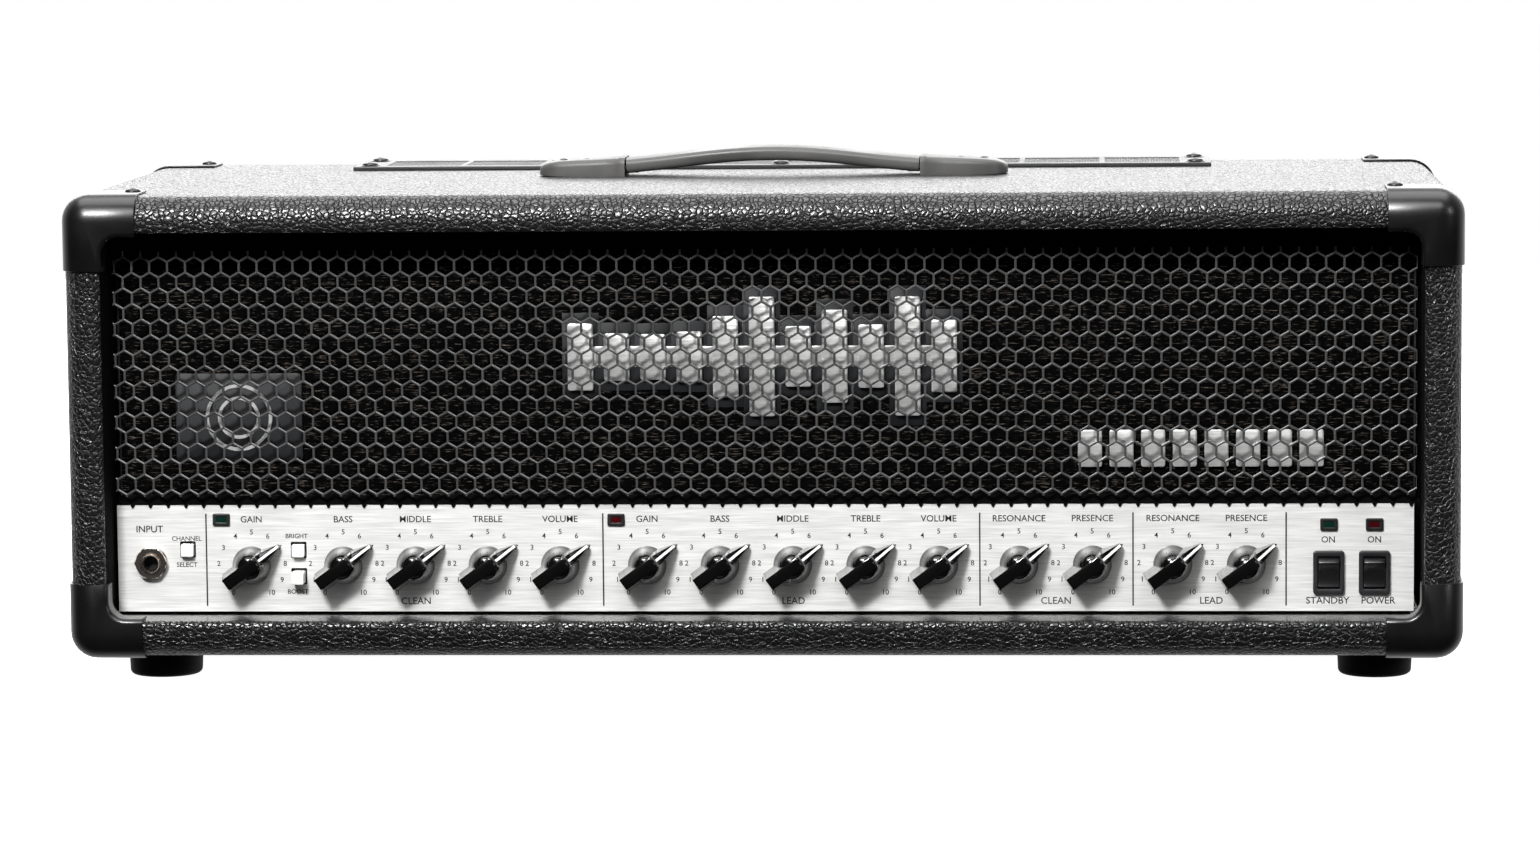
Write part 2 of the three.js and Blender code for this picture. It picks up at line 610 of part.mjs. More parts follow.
// Rotary selector for the loudspeaker impedance, with a pointer ridge across its face.
function addImpedanceSelector() {
  const { x, radius, skirt, height, shaft, gap } = selector;
  const y = chassis.rear + gap;
  const dial = turned([[0, 0], [radius, 0], [radius - 1, skirt], [0, skirt]], 16, "rear", x, y, rear.z);
  const ridge = rearBlock(x, 3.2, 2 * radius - 3, y + 2, y + height);
  const spindle = rod(shaft, 12, 10, "front", x, y + 1, rear.z);
  addPart("impedance_selector", joined([dial, ridge, spindle]), glossBlack);
}

// Perforated steel guard that closes the back above the chassis, modelled as a plain sheet.
function addRearGuard() {
  const w = grille.width / 2;
  const [y0, y1] = [chassis.rear - chassis.wall, chassis.rear];
  addPart("rear_guard", block(-w, w, y0, y1, chassis.top + 2, grille.top), blackSteel);
}

addCabinet();
addCornerProtectors();
addFeet();
addGrille();
addCentreEmblem();
addControlPanel();
addKnobs();
addButtons();
addLamps();
addRockers();
addInputJack();
addVentPlate();
addHandle();
addChassis();
addCircuitBoard();
addPowerSection();
addRearSockets();
addMainsInlet();
addImpedanceSelector();
addRearGuard();

export default head;
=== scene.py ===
import json
from math import asin, ceil, cos, degrees, floor, pi, radians, sin, sqrt

import bmesh
import bpy
from mathutils import Matrix, Vector


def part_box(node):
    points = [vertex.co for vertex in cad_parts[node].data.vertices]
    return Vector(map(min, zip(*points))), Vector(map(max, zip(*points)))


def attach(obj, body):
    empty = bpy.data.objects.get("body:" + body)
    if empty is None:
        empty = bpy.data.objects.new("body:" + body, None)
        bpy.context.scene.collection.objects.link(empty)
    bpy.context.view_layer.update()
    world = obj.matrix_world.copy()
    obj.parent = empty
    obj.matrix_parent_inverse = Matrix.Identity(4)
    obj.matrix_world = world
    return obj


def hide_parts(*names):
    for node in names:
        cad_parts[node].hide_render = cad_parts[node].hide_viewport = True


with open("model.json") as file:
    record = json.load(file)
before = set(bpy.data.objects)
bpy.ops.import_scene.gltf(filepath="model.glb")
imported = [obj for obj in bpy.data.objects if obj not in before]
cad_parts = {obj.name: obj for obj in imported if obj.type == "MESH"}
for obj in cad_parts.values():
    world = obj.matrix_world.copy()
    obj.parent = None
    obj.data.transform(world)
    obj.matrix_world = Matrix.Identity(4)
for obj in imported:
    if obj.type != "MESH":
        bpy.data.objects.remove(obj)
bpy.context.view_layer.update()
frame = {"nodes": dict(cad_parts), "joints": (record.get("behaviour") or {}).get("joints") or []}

# Looks of a valve guitar amplifier head. Shapes are built in millimetres around the CAD nodes
# and scaled to metres when their object is made.

MM = 0.001


def span(node):
    """Lowest and highest corner of a CAD node, in millimetres."""
    low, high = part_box(node)
    return low / MM, high / MM


def seen_from_front(node):
    """Centre and size of a CAD node across and up, and its lowest and highest corner."""
    low, high = span(node)
    centre = ((low.x + high.x) / 2, (low.z + high.z) / 2)
    return centre, (high.x - low.x, high.z - low.z), low, high


PIVOTS = {j["child"]: Vector(j.get("pos_m", (0, 0, 0))) / MM for j in frame["joints"]}
KNOBS = [n for n in frame["nodes"] if n.endswith("_knob")]

# ---- driving sizes

top_low, top_high = span("top_panel")
HALF_WIDTH = top_high.x
HALF_DEPTH = top_high.y
TOP = top_high.z
BOTTOM = span("bottom_panel")[0].z
MID_Z = (TOP + BOTTOM) / 2
HALF_HEIGHT = (TOP - BOTTOM) / 2
WALL = top_high.z - top_low.z
EDGE = 12                               # rounding of the cabinet's outer edges
INNER_EDGE = 3                          # rounding where the front meets the opening

guard_low, guard_high = span("corner_top_front_right")
PROUD = guard_high.x - HALF_WIDTH       # protector over the vinyl
REACH = guard_high.x - guard_low.x
LIP = 1.4                               # protector past the edge of the opening
LIP_DEPTH = 12
LIP_RADIUS = 8
LIP_FOLD = 2.5                          # rounding where the protector turns into the opening
FOOT_HOLE = 20                          # radius that a lower protector leaves round a foot

panel_low, panel_high = span("control_panel")
PANEL_FRONT = panel_low.y
PRINT_Y = PANEL_FRONT - 0.02            # the panel's ink
grille_low, grille_high = span("front_grille")
backing_low, backing_high = span("grille_backing")
emblem_low, emblem_high = span("centre_emblem")
REAR_WALL = span("chassis")[1].y
DIAL_Z = PIVOTS["clean_gain_knob"].z
KNOB_REST = radians(54)                 # pointer's turn from straight up, clockwise
SOCKET_PITCH = 34.0                     # between the quarter-inch sockets at the rear

UP = (0, 0, 1)
FORWARD = (0, -1, 0)
BACKWARD = (0, 1, 0)


# ---- shapes

def circle(count):
    """Evenly spaced angles once round."""
    return [2 * pi * i / count for i in range(count)]


def arc(radius, start, end, steps, x=0.0, y=0.0):
    """Points on a circle, from one angle to another in degrees."""
    angles = [radians(start + (end - start) * i / steps) for i in range(steps + 1)]
    return [(x + radius * cos(a), y + radius * sin(a)) for a in angles]


def quarter(radius, *turned):
    """A rounded edge at some angles: how far it has come in, and how far it still has to rise."""
    angles = [radians(a) for a in turned]
    return [(radius * (1 - cos(a)), radius * (1 - sin(a))) for a in angles]


def rounded(width, height, radius, steps=4, x=0.0, y=0.0):
    """Outline of a rectangle with rounded corners, counterclockwise from the lower right."""
    radius = max(min(radius, width / 2, height / 2), 0.01)
    w, h = width / 2 - radius, height / 2 - radius
    points = []
    for cx, cy, start in ((w, -h, -90), (w, h, 0), (-w, h, 90), (-w, -h, 180)):
        points += arc(radius, start, start + 90, steps, x + cx, y + cy)
    return points


def spinner(centre, facing):
    """A function from radius, angle and height about an axis to a point."""
    turn = Vector(UP).rotation_difference(Vector(facing))
    start = Vector(centre)
    return lambda r, a, h: turn @ Vector((r * cos(a), r * sin(a), h)) + start


PLANES = {
    "Y": lambda u, v, w: Vector((u, w, v)),
    "Z": lambda u, v, w: Vector((u, v, w)),
}


class Shape:
    """Points and faces in millimetres, with a material number for each face."""

    def __init__(self):
        self.points = []
        self.faces = []
        self.marks = []

    def face(self, corners, mark=0):
        self.faces.append(corners)
        self.marks.append(mark)

    def loft(self, loops, closed=True, caps=True, wrap=False, mark=0):
        """Skins a row of loops that have the same number of points."""
        base = len(self.points)
        count = len(loops[0])
        for loop in loops:
            self.points += [Vector(point) for point in loop]
        rows = len(loops) if wrap else len(loops) - 1
        columns = count if closed else count - 1
        for i in range(rows):
            for j in range(columns):
                a = base + i * count
                b = base + (i + 1) % len(loops) * count
                k = (j + 1) % count
                self.face((a + j, a + k, b + k, b + j), mark)
        if caps and closed and not wrap:
            last = base + (len(loops) - 1) * count
            self.face(tuple(range(base, base + count))[::-1], mark)
            self.face(tuple(range(last, last + count)), mark)
        return self

    def slab(self, axis, centre, size, start, end, radius=1.0, edge=0.3, steps=4, mark=0):
        """A rounded rectangle along an axis, with both of its rims rounded by edge."""
        side = 1 if end > start else -1
        rim = quarter(edge, 90, 45, 0)
        levels = [(start + side * rise, inset) for inset, rise in rim]
        levels += [(end - side * rise, inset) for inset, rise in reversed(rim)]
        loops = []
        for level, inset in levels:
            outline = rounded(size[0] - 2 * inset, size[1] - 2 * inset, radius - inset, steps, *centre)
            loops.append([PLANES[axis](u, v, level) for u, v in outline])
        return self.loft(loops, mark=mark)

    def lathe(self, profile, centre, facing=UP, segments=32, mark=0):
        """Turns (radius, height) points about an axis through centre, with closed ends."""
        at = spinner(centre, facing)
        loops = [[at(max(radius, 1e-5), a, height) for a in circle(segments)]
                 for radius, height in profile]
        return self.loft(loops, mark=mark)

    def ring(self, section, centre, facing, segments, mark=0):
        """Turns a closed section of (radius, height) points about an axis."""
        at = spinner(centre, facing)
        loops = [[at(radius, a, height) for radius, height in section] for a in circle(segments)]
        return self.loft(loops, caps=False, wrap=True, mark=mark)

    def nut(self, levels, across, centre, facing, segments, mark=0):
        """A hexagon through (height, reach) levels, with its corners cut back to each reach."""
        at = spinner(centre, facing)
        loops = []
        for height, reach in levels:
            loop = []
            for a in circle(segments):
                from_flat = a % (pi / 3) - pi / 6
                loop.append(at(min(across / 2 / cos(from_flat), reach), a, height))
            loops.append(loop)
        return self.loft(loops, caps=False, mark=mark)

    def bezel(self, centre, size, hole, front, back, radius, edge, steps=4):
        """A rounded rectangle with a rounded rectangular window, open at the back."""
        side = 1 if back > front else -1
        hole_radius = max(radius * 0.5, 0.2)
        section = [(*size, radius, back)]
        section += [(size[0] - 2 * inset, size[1] - 2 * inset, radius - inset, front + side * rise)
                    for inset, rise in quarter(edge, 0, 30, 60, 90)]
        section += [(hole[0] + 2 * inset, hole[1] + 2 * inset, hole_radius, front + side * rise)
                    for inset, rise in quarter(edge * 0.6, 90, 45, 0)]
        section.append((*hole, hole_radius, back))
        loops = [[Vector((u, y, v)) for u, v in rounded(width, height, r, steps, *centre)]
                 for width, height, r, y in section]
        return self.loft(loops, caps=False, wrap=True)

    def dome_screw(self, x, y, z, radius=3.8, height=1.8, facing=UP, mark=0):
        """A dome head with a washer edge and a round socket in its top."""
        hole = radius * 0.35
        profile = [(0, 0), (radius, 0)]
        for a in (0, 20, 40, 60):
            rise = 0.25 + 0.75 * sin(radians(a))
            profile.append((radius * cos(radians(a)), height * rise))
        profile += [(hole, height * 0.98), (hole * 0.8, height * 0.4), (0, height * 0.4)]
        return self.lathe(profile, (x, y, z), facing, 24, mark)

    def join(self, other, matrix=None):
        """Adds a copy of another shape, moved by a matrix if there is one."""
        base = len(self.points)
        self.points += [matrix @ p if matrix else p.copy() for p in other.points]
        for corners, mark in zip(other.faces, other.marks):
            self.face(tuple(base + c for c in corners), mark)
        return self


def start_mesh(shape, scale):
    """A bmesh with a shape's points, faces and material numbers."""
    bm = bmesh.new()
    corners = [bm.verts.new(point * scale) for point in shape.points]
    for face, mark in zip(shape.faces, shape.marks):
        bm.faces.new([corners[i] for i in face]).material_index = mark
    return bm


def keep_side(bm, point, normal, **cleared):
    """Cuts the whole mesh with a plane, and clears one side of it."""
    geometry = bm.verts[:] + bm.edges[:] + bm.faces[:]
    bmesh.ops.bisect_plane(bm, geom=geometry, plane_co=point, plane_no=normal, **cleared)


def end_mesh(bm, name):
    """Turns a bmesh into a mesh and frees it."""
    mesh = bpy.data.meshes.new(name)
    bm.to_mesh(mesh)
    bm.free()
    return mesh


def add_object(name, data):
    made = bpy.data.objects.new(name, data)
    bpy.context.scene.collection.objects.link(made)
    return made


def build(name, shape, finishes, replaces=(), body="cabinet", bevel=0, sharp=35, merge=True):
    """Makes an object from a shape, in place of the CAD nodes that it replaces."""
    finishes = finishes if isinstance(finishes, (list, tuple)) else [finishes]
    bm = start_mesh(shape, MM)
    if merge:
        bmesh.ops.remove_doubles(bm, verts=bm.verts, dist=0.004 * MM)
        bmesh.ops.dissolve_degenerate(bm, edges=bm.edges, dist=0.002 * MM)
    bmesh.ops.recalc_face_normals(bm, faces=bm.faces)
    piece = place(name, end_mesh(bm, name), finishes, replaces, body, sharp)
    if bevel:
        round_edges(piece, bevel, 40, True)
    return piece


def place(name, mesh, finishes, replaces, body, sharp):
    """Links a finished mesh, gives it its materials, and puts it on its body."""
    for finish in finishes:
        mesh.materials.append(finish)
    mesh.shade_smooth()
    mesh.set_sharp_from_angle(angle=radians(sharp))
    piece = add_object(name, mesh)
    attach(piece, body)
    if replaces:
        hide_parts(*replaces)
    return piece


def round_edges(piece, width, angle, harden):
    """Rounds the edges that are sharper than an angle in degrees."""
    edges = piece.modifiers.new("edges", "BEVEL")
    edges.width = width * MM
    edges.segments = 2
    edges.limit_method = "ANGLE"
    edges.angle_limit = radians(angle)
    edges.harden_normals = harden


def carry(node, finish):
    """Gives a CAD node that stays its own material."""
    materials = frame["nodes"][node].data.materials
    materials.clear()
    materials.append(finish)


# ---- materials

class Nodes:
    """A node tree, with short ways to add what it needs."""

    def __init__(self, tree):
        self.tree = tree

    def feed(self, socket, value):
        """Links an output to a socket, or sets the socket's own value."""
        if isinstance(value, bpy.types.NodeSocket):
            self.tree.links.new(value, socket)
        else:
            socket.default_value = value

    def node(self, kind, settings=None, **inputs):
        made = self.tree.nodes.new("ShaderNode" + kind)
        for key, value in (settings or {}).items():
            setattr(made, key, value)
        for key, value in inputs.items():
            self.feed(made.inputs[key.replace("_", " ")], value)
        return made

    def maths(self, operation, a, b):
        made = self.node("Math", {"operation": operation})
        self.feed(made.inputs[0], a)
        self.feed(made.inputs[1], b)
        return made.outputs[0]

    def between(self, value, low, high, start=0.3, end=0.7):
        """Maps a value's range from start to end onto low to high."""
        return self.node("MapRange", Value=value, From_Min=start, From_Max=end, To_Min=low,
                         To_Max=high).outputs["Result"]


class Finish(Nodes):
    """A material with one shader."""

    def __init__(self, name, colour, roughness, metallic=0.0, **constants):
        self.material = bpy.data.materials.new(name)
        self.material.use_nodes = True
        super().__init__(self.material.node_tree)
        self.inputs = self.tree.nodes["Principled BSDF"].inputs
        self.inputs["Base Color"].default_value = (*colour, 1)
        self.inputs["Roughness"].default_value = roughness
        self.inputs["Metallic"].default_value = metallic
        for socket, value in constants.items():
            self.inputs[socket.replace("_", " ")].default_value = value

    def coordinates(self, stretch=(1, 1, 1)):
        source = self.node("TexCoord").outputs["Object"]
        return self.node("Mapping", Vector=source, Scale=stretch).outputs["Vector"]

    def noise(self, per_metre, detail, stretch=(1, 1, 1)):
        vector = self.coordinates(stretch)
        return self.node("TexNoise", Vector=vector, Scale=per_metre, Detail=detail).outputs["Fac"]

    def wave(self, direction, per_metre, distortion=0.0):
        """Even stripes across a direction."""
        return self.node("TexWave", {"bands_direction": direction}, Vector=self.coordinates(),
                         Scale=per_metre, Distortion=distortion).outputs["Fac"]

    def tint(self, value, dark, light, start=0.3, end=0.7):
        ramp = self.node("ValToRGB", Fac=value)
        for element, position, colour in zip(ramp.color_ramp.elements, (start, end), (dark, light)):
            element.position = position
            element.color = (*colour, 1)
        self.feed(self.inputs["Base Color"], ramp.outputs["Color"])

    def shine(self, value, low, high, start=0.3, end=0.7):
        self.feed(self.inputs["Roughness"], self.between(value, low, high, start, end))

    def bump(self, height, depth):
        made = self.node("Bump", Height=height, Distance=depth * MM, Strength=1.0)
        self.feed(self.inputs["Normal"], made.outputs["Normal"])


def shade(colour, factor):
    return tuple(min(channel * factor, 1) for channel in colour)


def textured(name, colour, roughness, grain=900.0, depth=0.05, spread=0.25, metallic=0.0,
             **constants):
    """A moulded or painted surface: fine grain, and slow changes of colour and gloss."""
    finish = Finish(name, colour, roughness, metallic, **constants)
    slow = finish.noise(35.0, 4.0)
    finish.tint(slow, shade(colour, 1 - spread), shade(colour, 1 + spread))
    finish.shine(slow, roughness * 0.85, roughness * 1.15)
    finish.bump(finish.noise(grain, 2.0), depth)
    return finish.material


def vinyl(name, relief, creased, crowned):
    """Black levant grain: flat pebbles about 2 mm across with sharp creases between them; the creases are
    painted darker as shade.
    """
    cells_per_metre = 390.0
    waviness = 0.0018
    finish = Finish(name, (0.008, 0.008, 0.0085), 0.4, Specular_IOR_Level=0.75)
    base = finish.coordinates()
    warp = finish.node("TexNoise", Vector=base, Scale=330.0, Detail=2.0).outputs["Color"]
    shift = finish.node("VectorMath", {"operation": "SCALE"}, Vector=warp, Scale=waviness).outputs[0]
    bent = finish.node("VectorMath", {"operation": "ADD"})
    finish.feed(bent.inputs[0], base)
    finish.feed(bent.inputs[1], shift)
    cells = finish.node("TexVoronoi", {"feature": "DISTANCE_TO_EDGE"}, Vector=bent.outputs[0],
                        Scale=cells_per_metre).outputs["Distance"]
    creases_and_painted_shade = finish.between(cells, 0.0, 1.0, 0.0, 0.14)
    crowns = finish.between(cells, 0.0, 1.0, 0.0, 0.5)
    ripples = finish.noise(600.0, 2.0)
    domed = finish.maths("MULTIPLY", finish.maths("POWER", creases_and_painted_shade, 0.7), 0.5)
    domed = finish.maths("ADD", domed, finish.maths("MULTIPLY", crowns, 0.2))
    height = finish.maths("ADD", domed, finish.maths("MULTIPLY", ripples, 0.12))
    # The creases are painted darker than the crowns in the base colour: painted shade in the creases.
    finish.tint(creases_and_painted_shade, (0.0006, 0.0006, 0.0006), (0.004, 0.004, 0.0044), 0.2, 0.9)
    finish.shine(creases_and_painted_shade, creased, crowned, 0.3, 0.9)
    finish.bump(height, relief)
    return finish.material


def brushed(name, colour, roughness, metallic):
    """Metal brushed along the panel's length."""
    contrast = 0.12
    finish = Finish(name, colour, roughness, metallic)
    lines = finish.noise(1.0, 6.0, (60, 1500, 1500))
    finish.tint(lines, shade(colour, 1 - contrast), shade(colour, 1 + contrast))
    finish.shine(lines, roughness * 0.8, roughness * 1.2)
    finish.bump(lines, 0.04)
    return finish.material


def woven_cloth():
    """Black grille cloth with faint brownish horizontal streaks, partly lighter threads and partly painted
    glints, and a plain weave.
    """
    threads_per_metre = 160.0
    finish = Finish("grille_cloth", (0.003, 0.003, 0.003), 0.9, Specular_IOR_Level=0.05)
    streaks_and_glints = finish.noise(1.0, 3.0, (230, 230, 2400))
    # The light end of the streaks is partly painted highlight: thread glints put into the base colour.
    finish.tint(streaks_and_glints, (0.0004, 0.0004, 0.0004), (0.12, 0.1, 0.085), 0.6, 0.76)
    across = finish.wave("X", threads_per_metre, 1.0)
    down = finish.wave("Z", threads_per_metre)
    finish.bump(finish.maths("MULTIPLY", across, down), 0.25)
    return finish.material


def laminated():
    """Stacked iron sheets under black lacquer."""
    finish = Finish("laminations", (0.02, 0.02, 0.021), 0.5, 0.3)
    sheets = finish.wave("Y", 300.0)
    finish.tint(sheets, (0.01, 0.01, 0.01), (0.045, 0.045, 0.048))
    finish.bump(sheets, 0.2)
    return finish.material


VINYL = vinyl("vinyl", 1.0, 0.5, 0.3)
LEDGE_VINYL = vinyl("stretched_vinyl", 0.14, 0.26, 0.16)
GUARD = textured("guard_plastic", (0.0035, 0.0035, 0.004), 0.3, 700.0, 0.02)
RUBBER = textured("rubber", (0.003, 0.003, 0.003), 0.75, 1500.0, 0.05)
GRILLE = textured("grille_paint", (0.05, 0.05, 0.051), 0.26, 1200.0, 0.01, Specular_IOR_Level=0.8,
                  Coat_Weight=0.6, Coat_Roughness=0.25)
CLOTH = woven_cloth()
SILVER = brushed("silver", (0.66, 0.66, 0.65), 0.36, 0.6)
PANEL = brushed("brushed_aluminium", (0.74, 0.74, 0.725), 0.42, 0.3)
INK = textured("black_ink", (0.003, 0.003, 0.003), 0.55, 1500.0, 0.01)
KNOB = textured("knob_plastic", (0.002, 0.002, 0.002), 0.12, 300.0, 0.01, Coat_Weight=0.5,
                Coat_Roughness=0.05, Specular_IOR_Level=0.5)
WHITE = textured("white_paint", (0.85, 0.85, 0.84), 0.4, 1500.0, 0.01, 0.03)
BUTTON = textured("button_plastic", (0.8, 0.8, 0.77), 0.35, 900.0, 0.01, 0.03)
SWITCH = textured("switch_plastic", (0.014, 0.014, 0.0155), 0.36, 1800.0, 0.03)
ROCKER = textured("rocker_plastic", (0.006, 0.006, 0.0065), 0.25, 1500.0, 0.01)
CHROME = textured("nickel", (0.7, 0.63, 0.57), 0.2, 300.0, 0.01, 0.1, metallic=1.0)
STEEL = textured("bright_steel", (0.42, 0.42, 0.43), 0.25, 500.0, 0.01, 0.1, metallic=1.0)
BLACK_SCREW = textured("black_screw", (0.006, 0.006, 0.0065), 0.3, 500.0, 0.02)
COAT = textured("powder_coat", (0.014, 0.014, 0.0145), 0.42, 1500.0, 0.08)
# Flat black. Used as painted shade on the opening's side and top walls, the grille's black strips, the
# dark tips over the panel's edge and the sheet under the vent; also for the battens and the button liners.
BLACK_AND_PAINTED_SHADE = textured("black_screen_painted_shade", (0.001, 0.001, 0.001), 0.9, 1500.0, 0.1, Specular_IOR_Level=0.1)
HANDLE = textured("handle_plastic", (0.045, 0.044, 0.043), 0.45, 1300.0, 0.04)
LENS_GREEN = textured("green_lens", (0.001, 0.02, 0.013), 0.15, 300.0, 0.01, Coat_Weight=1.0)
LENS_RED = textured("red_lens", (0.05, 0.001, 0.003), 0.15, 300.0, 0.01, Coat_Weight=1.0)
PLATE = textured("plate_paint", (0.004, 0.0045, 0.006), 0.55, 900.0, 0.02)
SOCKET = textured("socket_plastic", (0.008, 0.008, 0.0085), 0.4, 1500.0, 0.03)
BOARD = textured("circuit_board", (0.02, 0.1, 0.045), 0.45, 400.0, 0.02)
IRON = laminated()
GLASS = textured("valve_glass", (0.9, 0.92, 0.92), 0.03, 50.0, 0.01, 0.03, Transmission_Weight=0.95)
ANODE = textured("anode", (0.05, 0.05, 0.052), 0.5, 600.0, 0.03, metallic=0.6)


# ---- cabinet

def frame_loop(half_width, half_height, radius, y, steps=6):
    outline = rounded(2 * half_width, 2 * half_height, radius, steps, 0, MID_Z)
    return [Vector((x, y, z)) for x, z in outline]


def add_vinyl():
    """The four covered panels as one skin: rounded outside, square-cornered inside, with the opening's
    side and top walls painted black as shade.
    """
    section = [(inset, rise - HALF_DEPTH, max(EDGE - inset, 1.0))
               for inset, rise in quarter(EDGE, *range(0, 91, 15))]
    section += [(WALL - rise, depth - HALF_DEPTH, 1.0)
                for depth, rise in quarter(INNER_EDGE, *range(0, 91, 18))]
    section += [(inset, -y, radius) for inset, y, radius in reversed(section)]
    rings = [frame_loop(HALF_WIDTH - d, HALF_HEIGHT - d, radius, y) for d, y, radius in section]
    shape = Shape().loft(rings, caps=False, wrap=True)
    inner = HALF_WIDTH - WALL
    ledge, roof = BOTTOM + WALL, TOP - WALL
    # Faces of the opening's side and top walls take flat black: painted shade where these vinyl walls lie
    # in shadow. The ledge takes the smoother vinyl.
    for k, corners in enumerate(shape.faces):
        points = [shape.points[i] for i in corners]
        painted_shade_in_opening = all(abs(p.x) < inner + 0.6 and ledge + 0.9 < p.z < roof + 0.6 for p in points)
        on_ledge = all(abs(p.x) < inner and abs(p.z - ledge) < 0.05 for p in points)
        shape.marks[k] = 1 if painted_shade_in_opening else 2 if on_ledge else 0
    panels = ("top_panel", "bottom_panel", "left_side_panel", "right_side_panel")
    build("vinyl_covering", shape, [VINYL, BLACK_AND_PAINTED_SHADE, LEDGE_VINYL], panels, sharp=50)


def protector_skin(sy):
    """The whole grown skin at the front or rear, with its lip, before the corners are cut out."""
    half_w, half_h, half_d = HALF_WIDTH + PROUD, HALF_HEIGHT + PROUD, HALF_DEPTH + PROUD
    edge = EDGE + PROUD
    lip = WALL + PROUD + LIP
    section = [(0, edge, 1.2 * REACH)]
    section += [(inset, max(edge - inset, 0.4), rise) for inset, rise in quarter(edge, *range(0, 91, 9))]
    section += [(lip - rise, LIP_RADIUS + rise, depth)
                for depth, rise in quarter(LIP_FOLD, *range(0, 91, 15))]
    section.append((lip, LIP_RADIUS, LIP_DEPTH))
    rings = [frame_loop(half_w - inset, half_h - inset, radius, sy * (half_d - back), 8)
             for inset, radius, back in section]
    return Shape().loft(rings, caps=False)


def add_protectors():
    """Eight moulded corners: shells cut from the grown skin, with a thickness."""
    for level, sz in (("bottom", -1), ("top", 1)):
        for end, sy in (("front", -1), ("rear", 1)):
            for side, sx in (("left", -1), ("right", 1)):
                foot = f"foot_{end}_{side}" if sz < 0 else None
                add_protector(f"corner_{level}_{end}_{side}", sx, sy, sz, foot)


def add_protector(name, sx, sy, sz, foot):
    bm = start_mesh(protector_skin(sy), 1)
    bmesh.ops.remove_doubles(bm, verts=bm.verts, dist=0.01)
    bmesh.ops.recalc_face_normals(bm, faces=bm.faces)
    inner = Vector((HALF_WIDTH, HALF_DEPTH, HALF_HEIGHT)) + Vector((PROUD - REACH,) * 3)
    for point, normal in (((sx * inner.x, 0, 0), (sx, 0, 0)), ((0, sy * inner.y, 0), (0, sy, 0)),
                          ((0, 0, MID_Z + sz * inner.z), (0, 0, sz))):
        keep_side(bm, point, normal, clear_inner=True, dist=0.001)
    if foot:
        clear_foot(bm, *seen_from_front(foot)[2:])
    outward = sum(f.normal.dot(f.calc_center_median() - Vector((0, 0, MID_Z))) for f in bm.faces)
    if outward < 0:
        bmesh.ops.reverse_faces(bm, faces=bm.faces[:])
    bmesh.ops.scale(bm, vec=(MM,) * 3, verts=bm.verts)
    mesh = end_mesh(bm, name + "_shell")
    shell = place(name + "_shell", mesh, [GUARD], (name,), "cabinet", 40)
    thickness = shell.modifiers.new("thickness", "SOLIDIFY")
    thickness.thickness = (PROUD - 0.1) * MM
    thickness.offset = -1
    thickness.use_even_offset = True
    round_edges(shell, 0.35, 50, False)


def clear_foot(bm, low, high):
    """Cuts a round hole for a foot in a protector's lower flap."""
    centre = (low + high) / 2
    for a in circle(36):
        normal = Vector((cos(a), sin(a), 0))
        point = Vector((centre.x, centre.y, 0)) + FOOT_HOLE * normal
        flap = [f for f in bm.faces if f.calc_center_median().z < BOTTOM + 2]
        edges = {e for f in flap for e in f.edges}
        verts = {v for f in flap for v in f.verts}
        bmesh.ops.bisect_plane(bm, geom=flap + list(edges) + list(verts), plane_co=point,
                               plane_no=normal, dist=0.001)
    inside = []
    for face in bm.faces:
        at = face.calc_center_median()
        near = (at.xy - centre.xy).length < FOOT_HOLE * 0.999
        if near and at.z < BOTTOM + 2 and abs(face.normal.z) > 0.9:
            inside.append(face)
    bmesh.ops.delete(bm, geom=inside, context="FACES")


def add_guard_screws():
    from_side, from_end = 31.3, 24.0
    x, y = HALF_WIDTH - from_side, HALF_DEPTH - from_end
    shape = Shape()
    for sx in (-1, 1):
        for sy in (-1, 1):
            shape.dome_screw(sx * x, sy * y, TOP + PROUD)
    build("corner_screws", shape, BLACK_SCREW)


def add_feet():
    """Round rubber feet with a screw in a recess underneath."""
    recess, deep = 6.2, 7
    screw = [(0, 5.8), (3.2, 5.4), (4.4, 4.4), (4.4, 3.2), (0, 3.2)]
    for node in ("foot_front_left", "foot_front_right", "foot_rear_left", "foot_rear_right"):
        low, high = span(node)
        x, y = (low.x + high.x) / 2, (low.y + high.y) / 2
        radius, top = (high.x - low.x) / 2, high.z
        profile = [(0, deep), (recess, deep), (recess, 0.6), (recess + 0.8, 0), (radius - 3.4, 0)]
        profile += arc(2.6, -90, -8, 5, radius - 3.4, 2.6)
        profile += [(radius - 0.35, top - 1), (radius - 0.5, top), (0, top)]
        shape = Shape().lathe(profile, (x, y, 0), UP, 48)
        shape.lathe(screw, (x, y, 1.4), UP, 20, 1)
        build(f"{node}_rubber", shape, [RUBBER, STEEL], (node,))


# ---- front

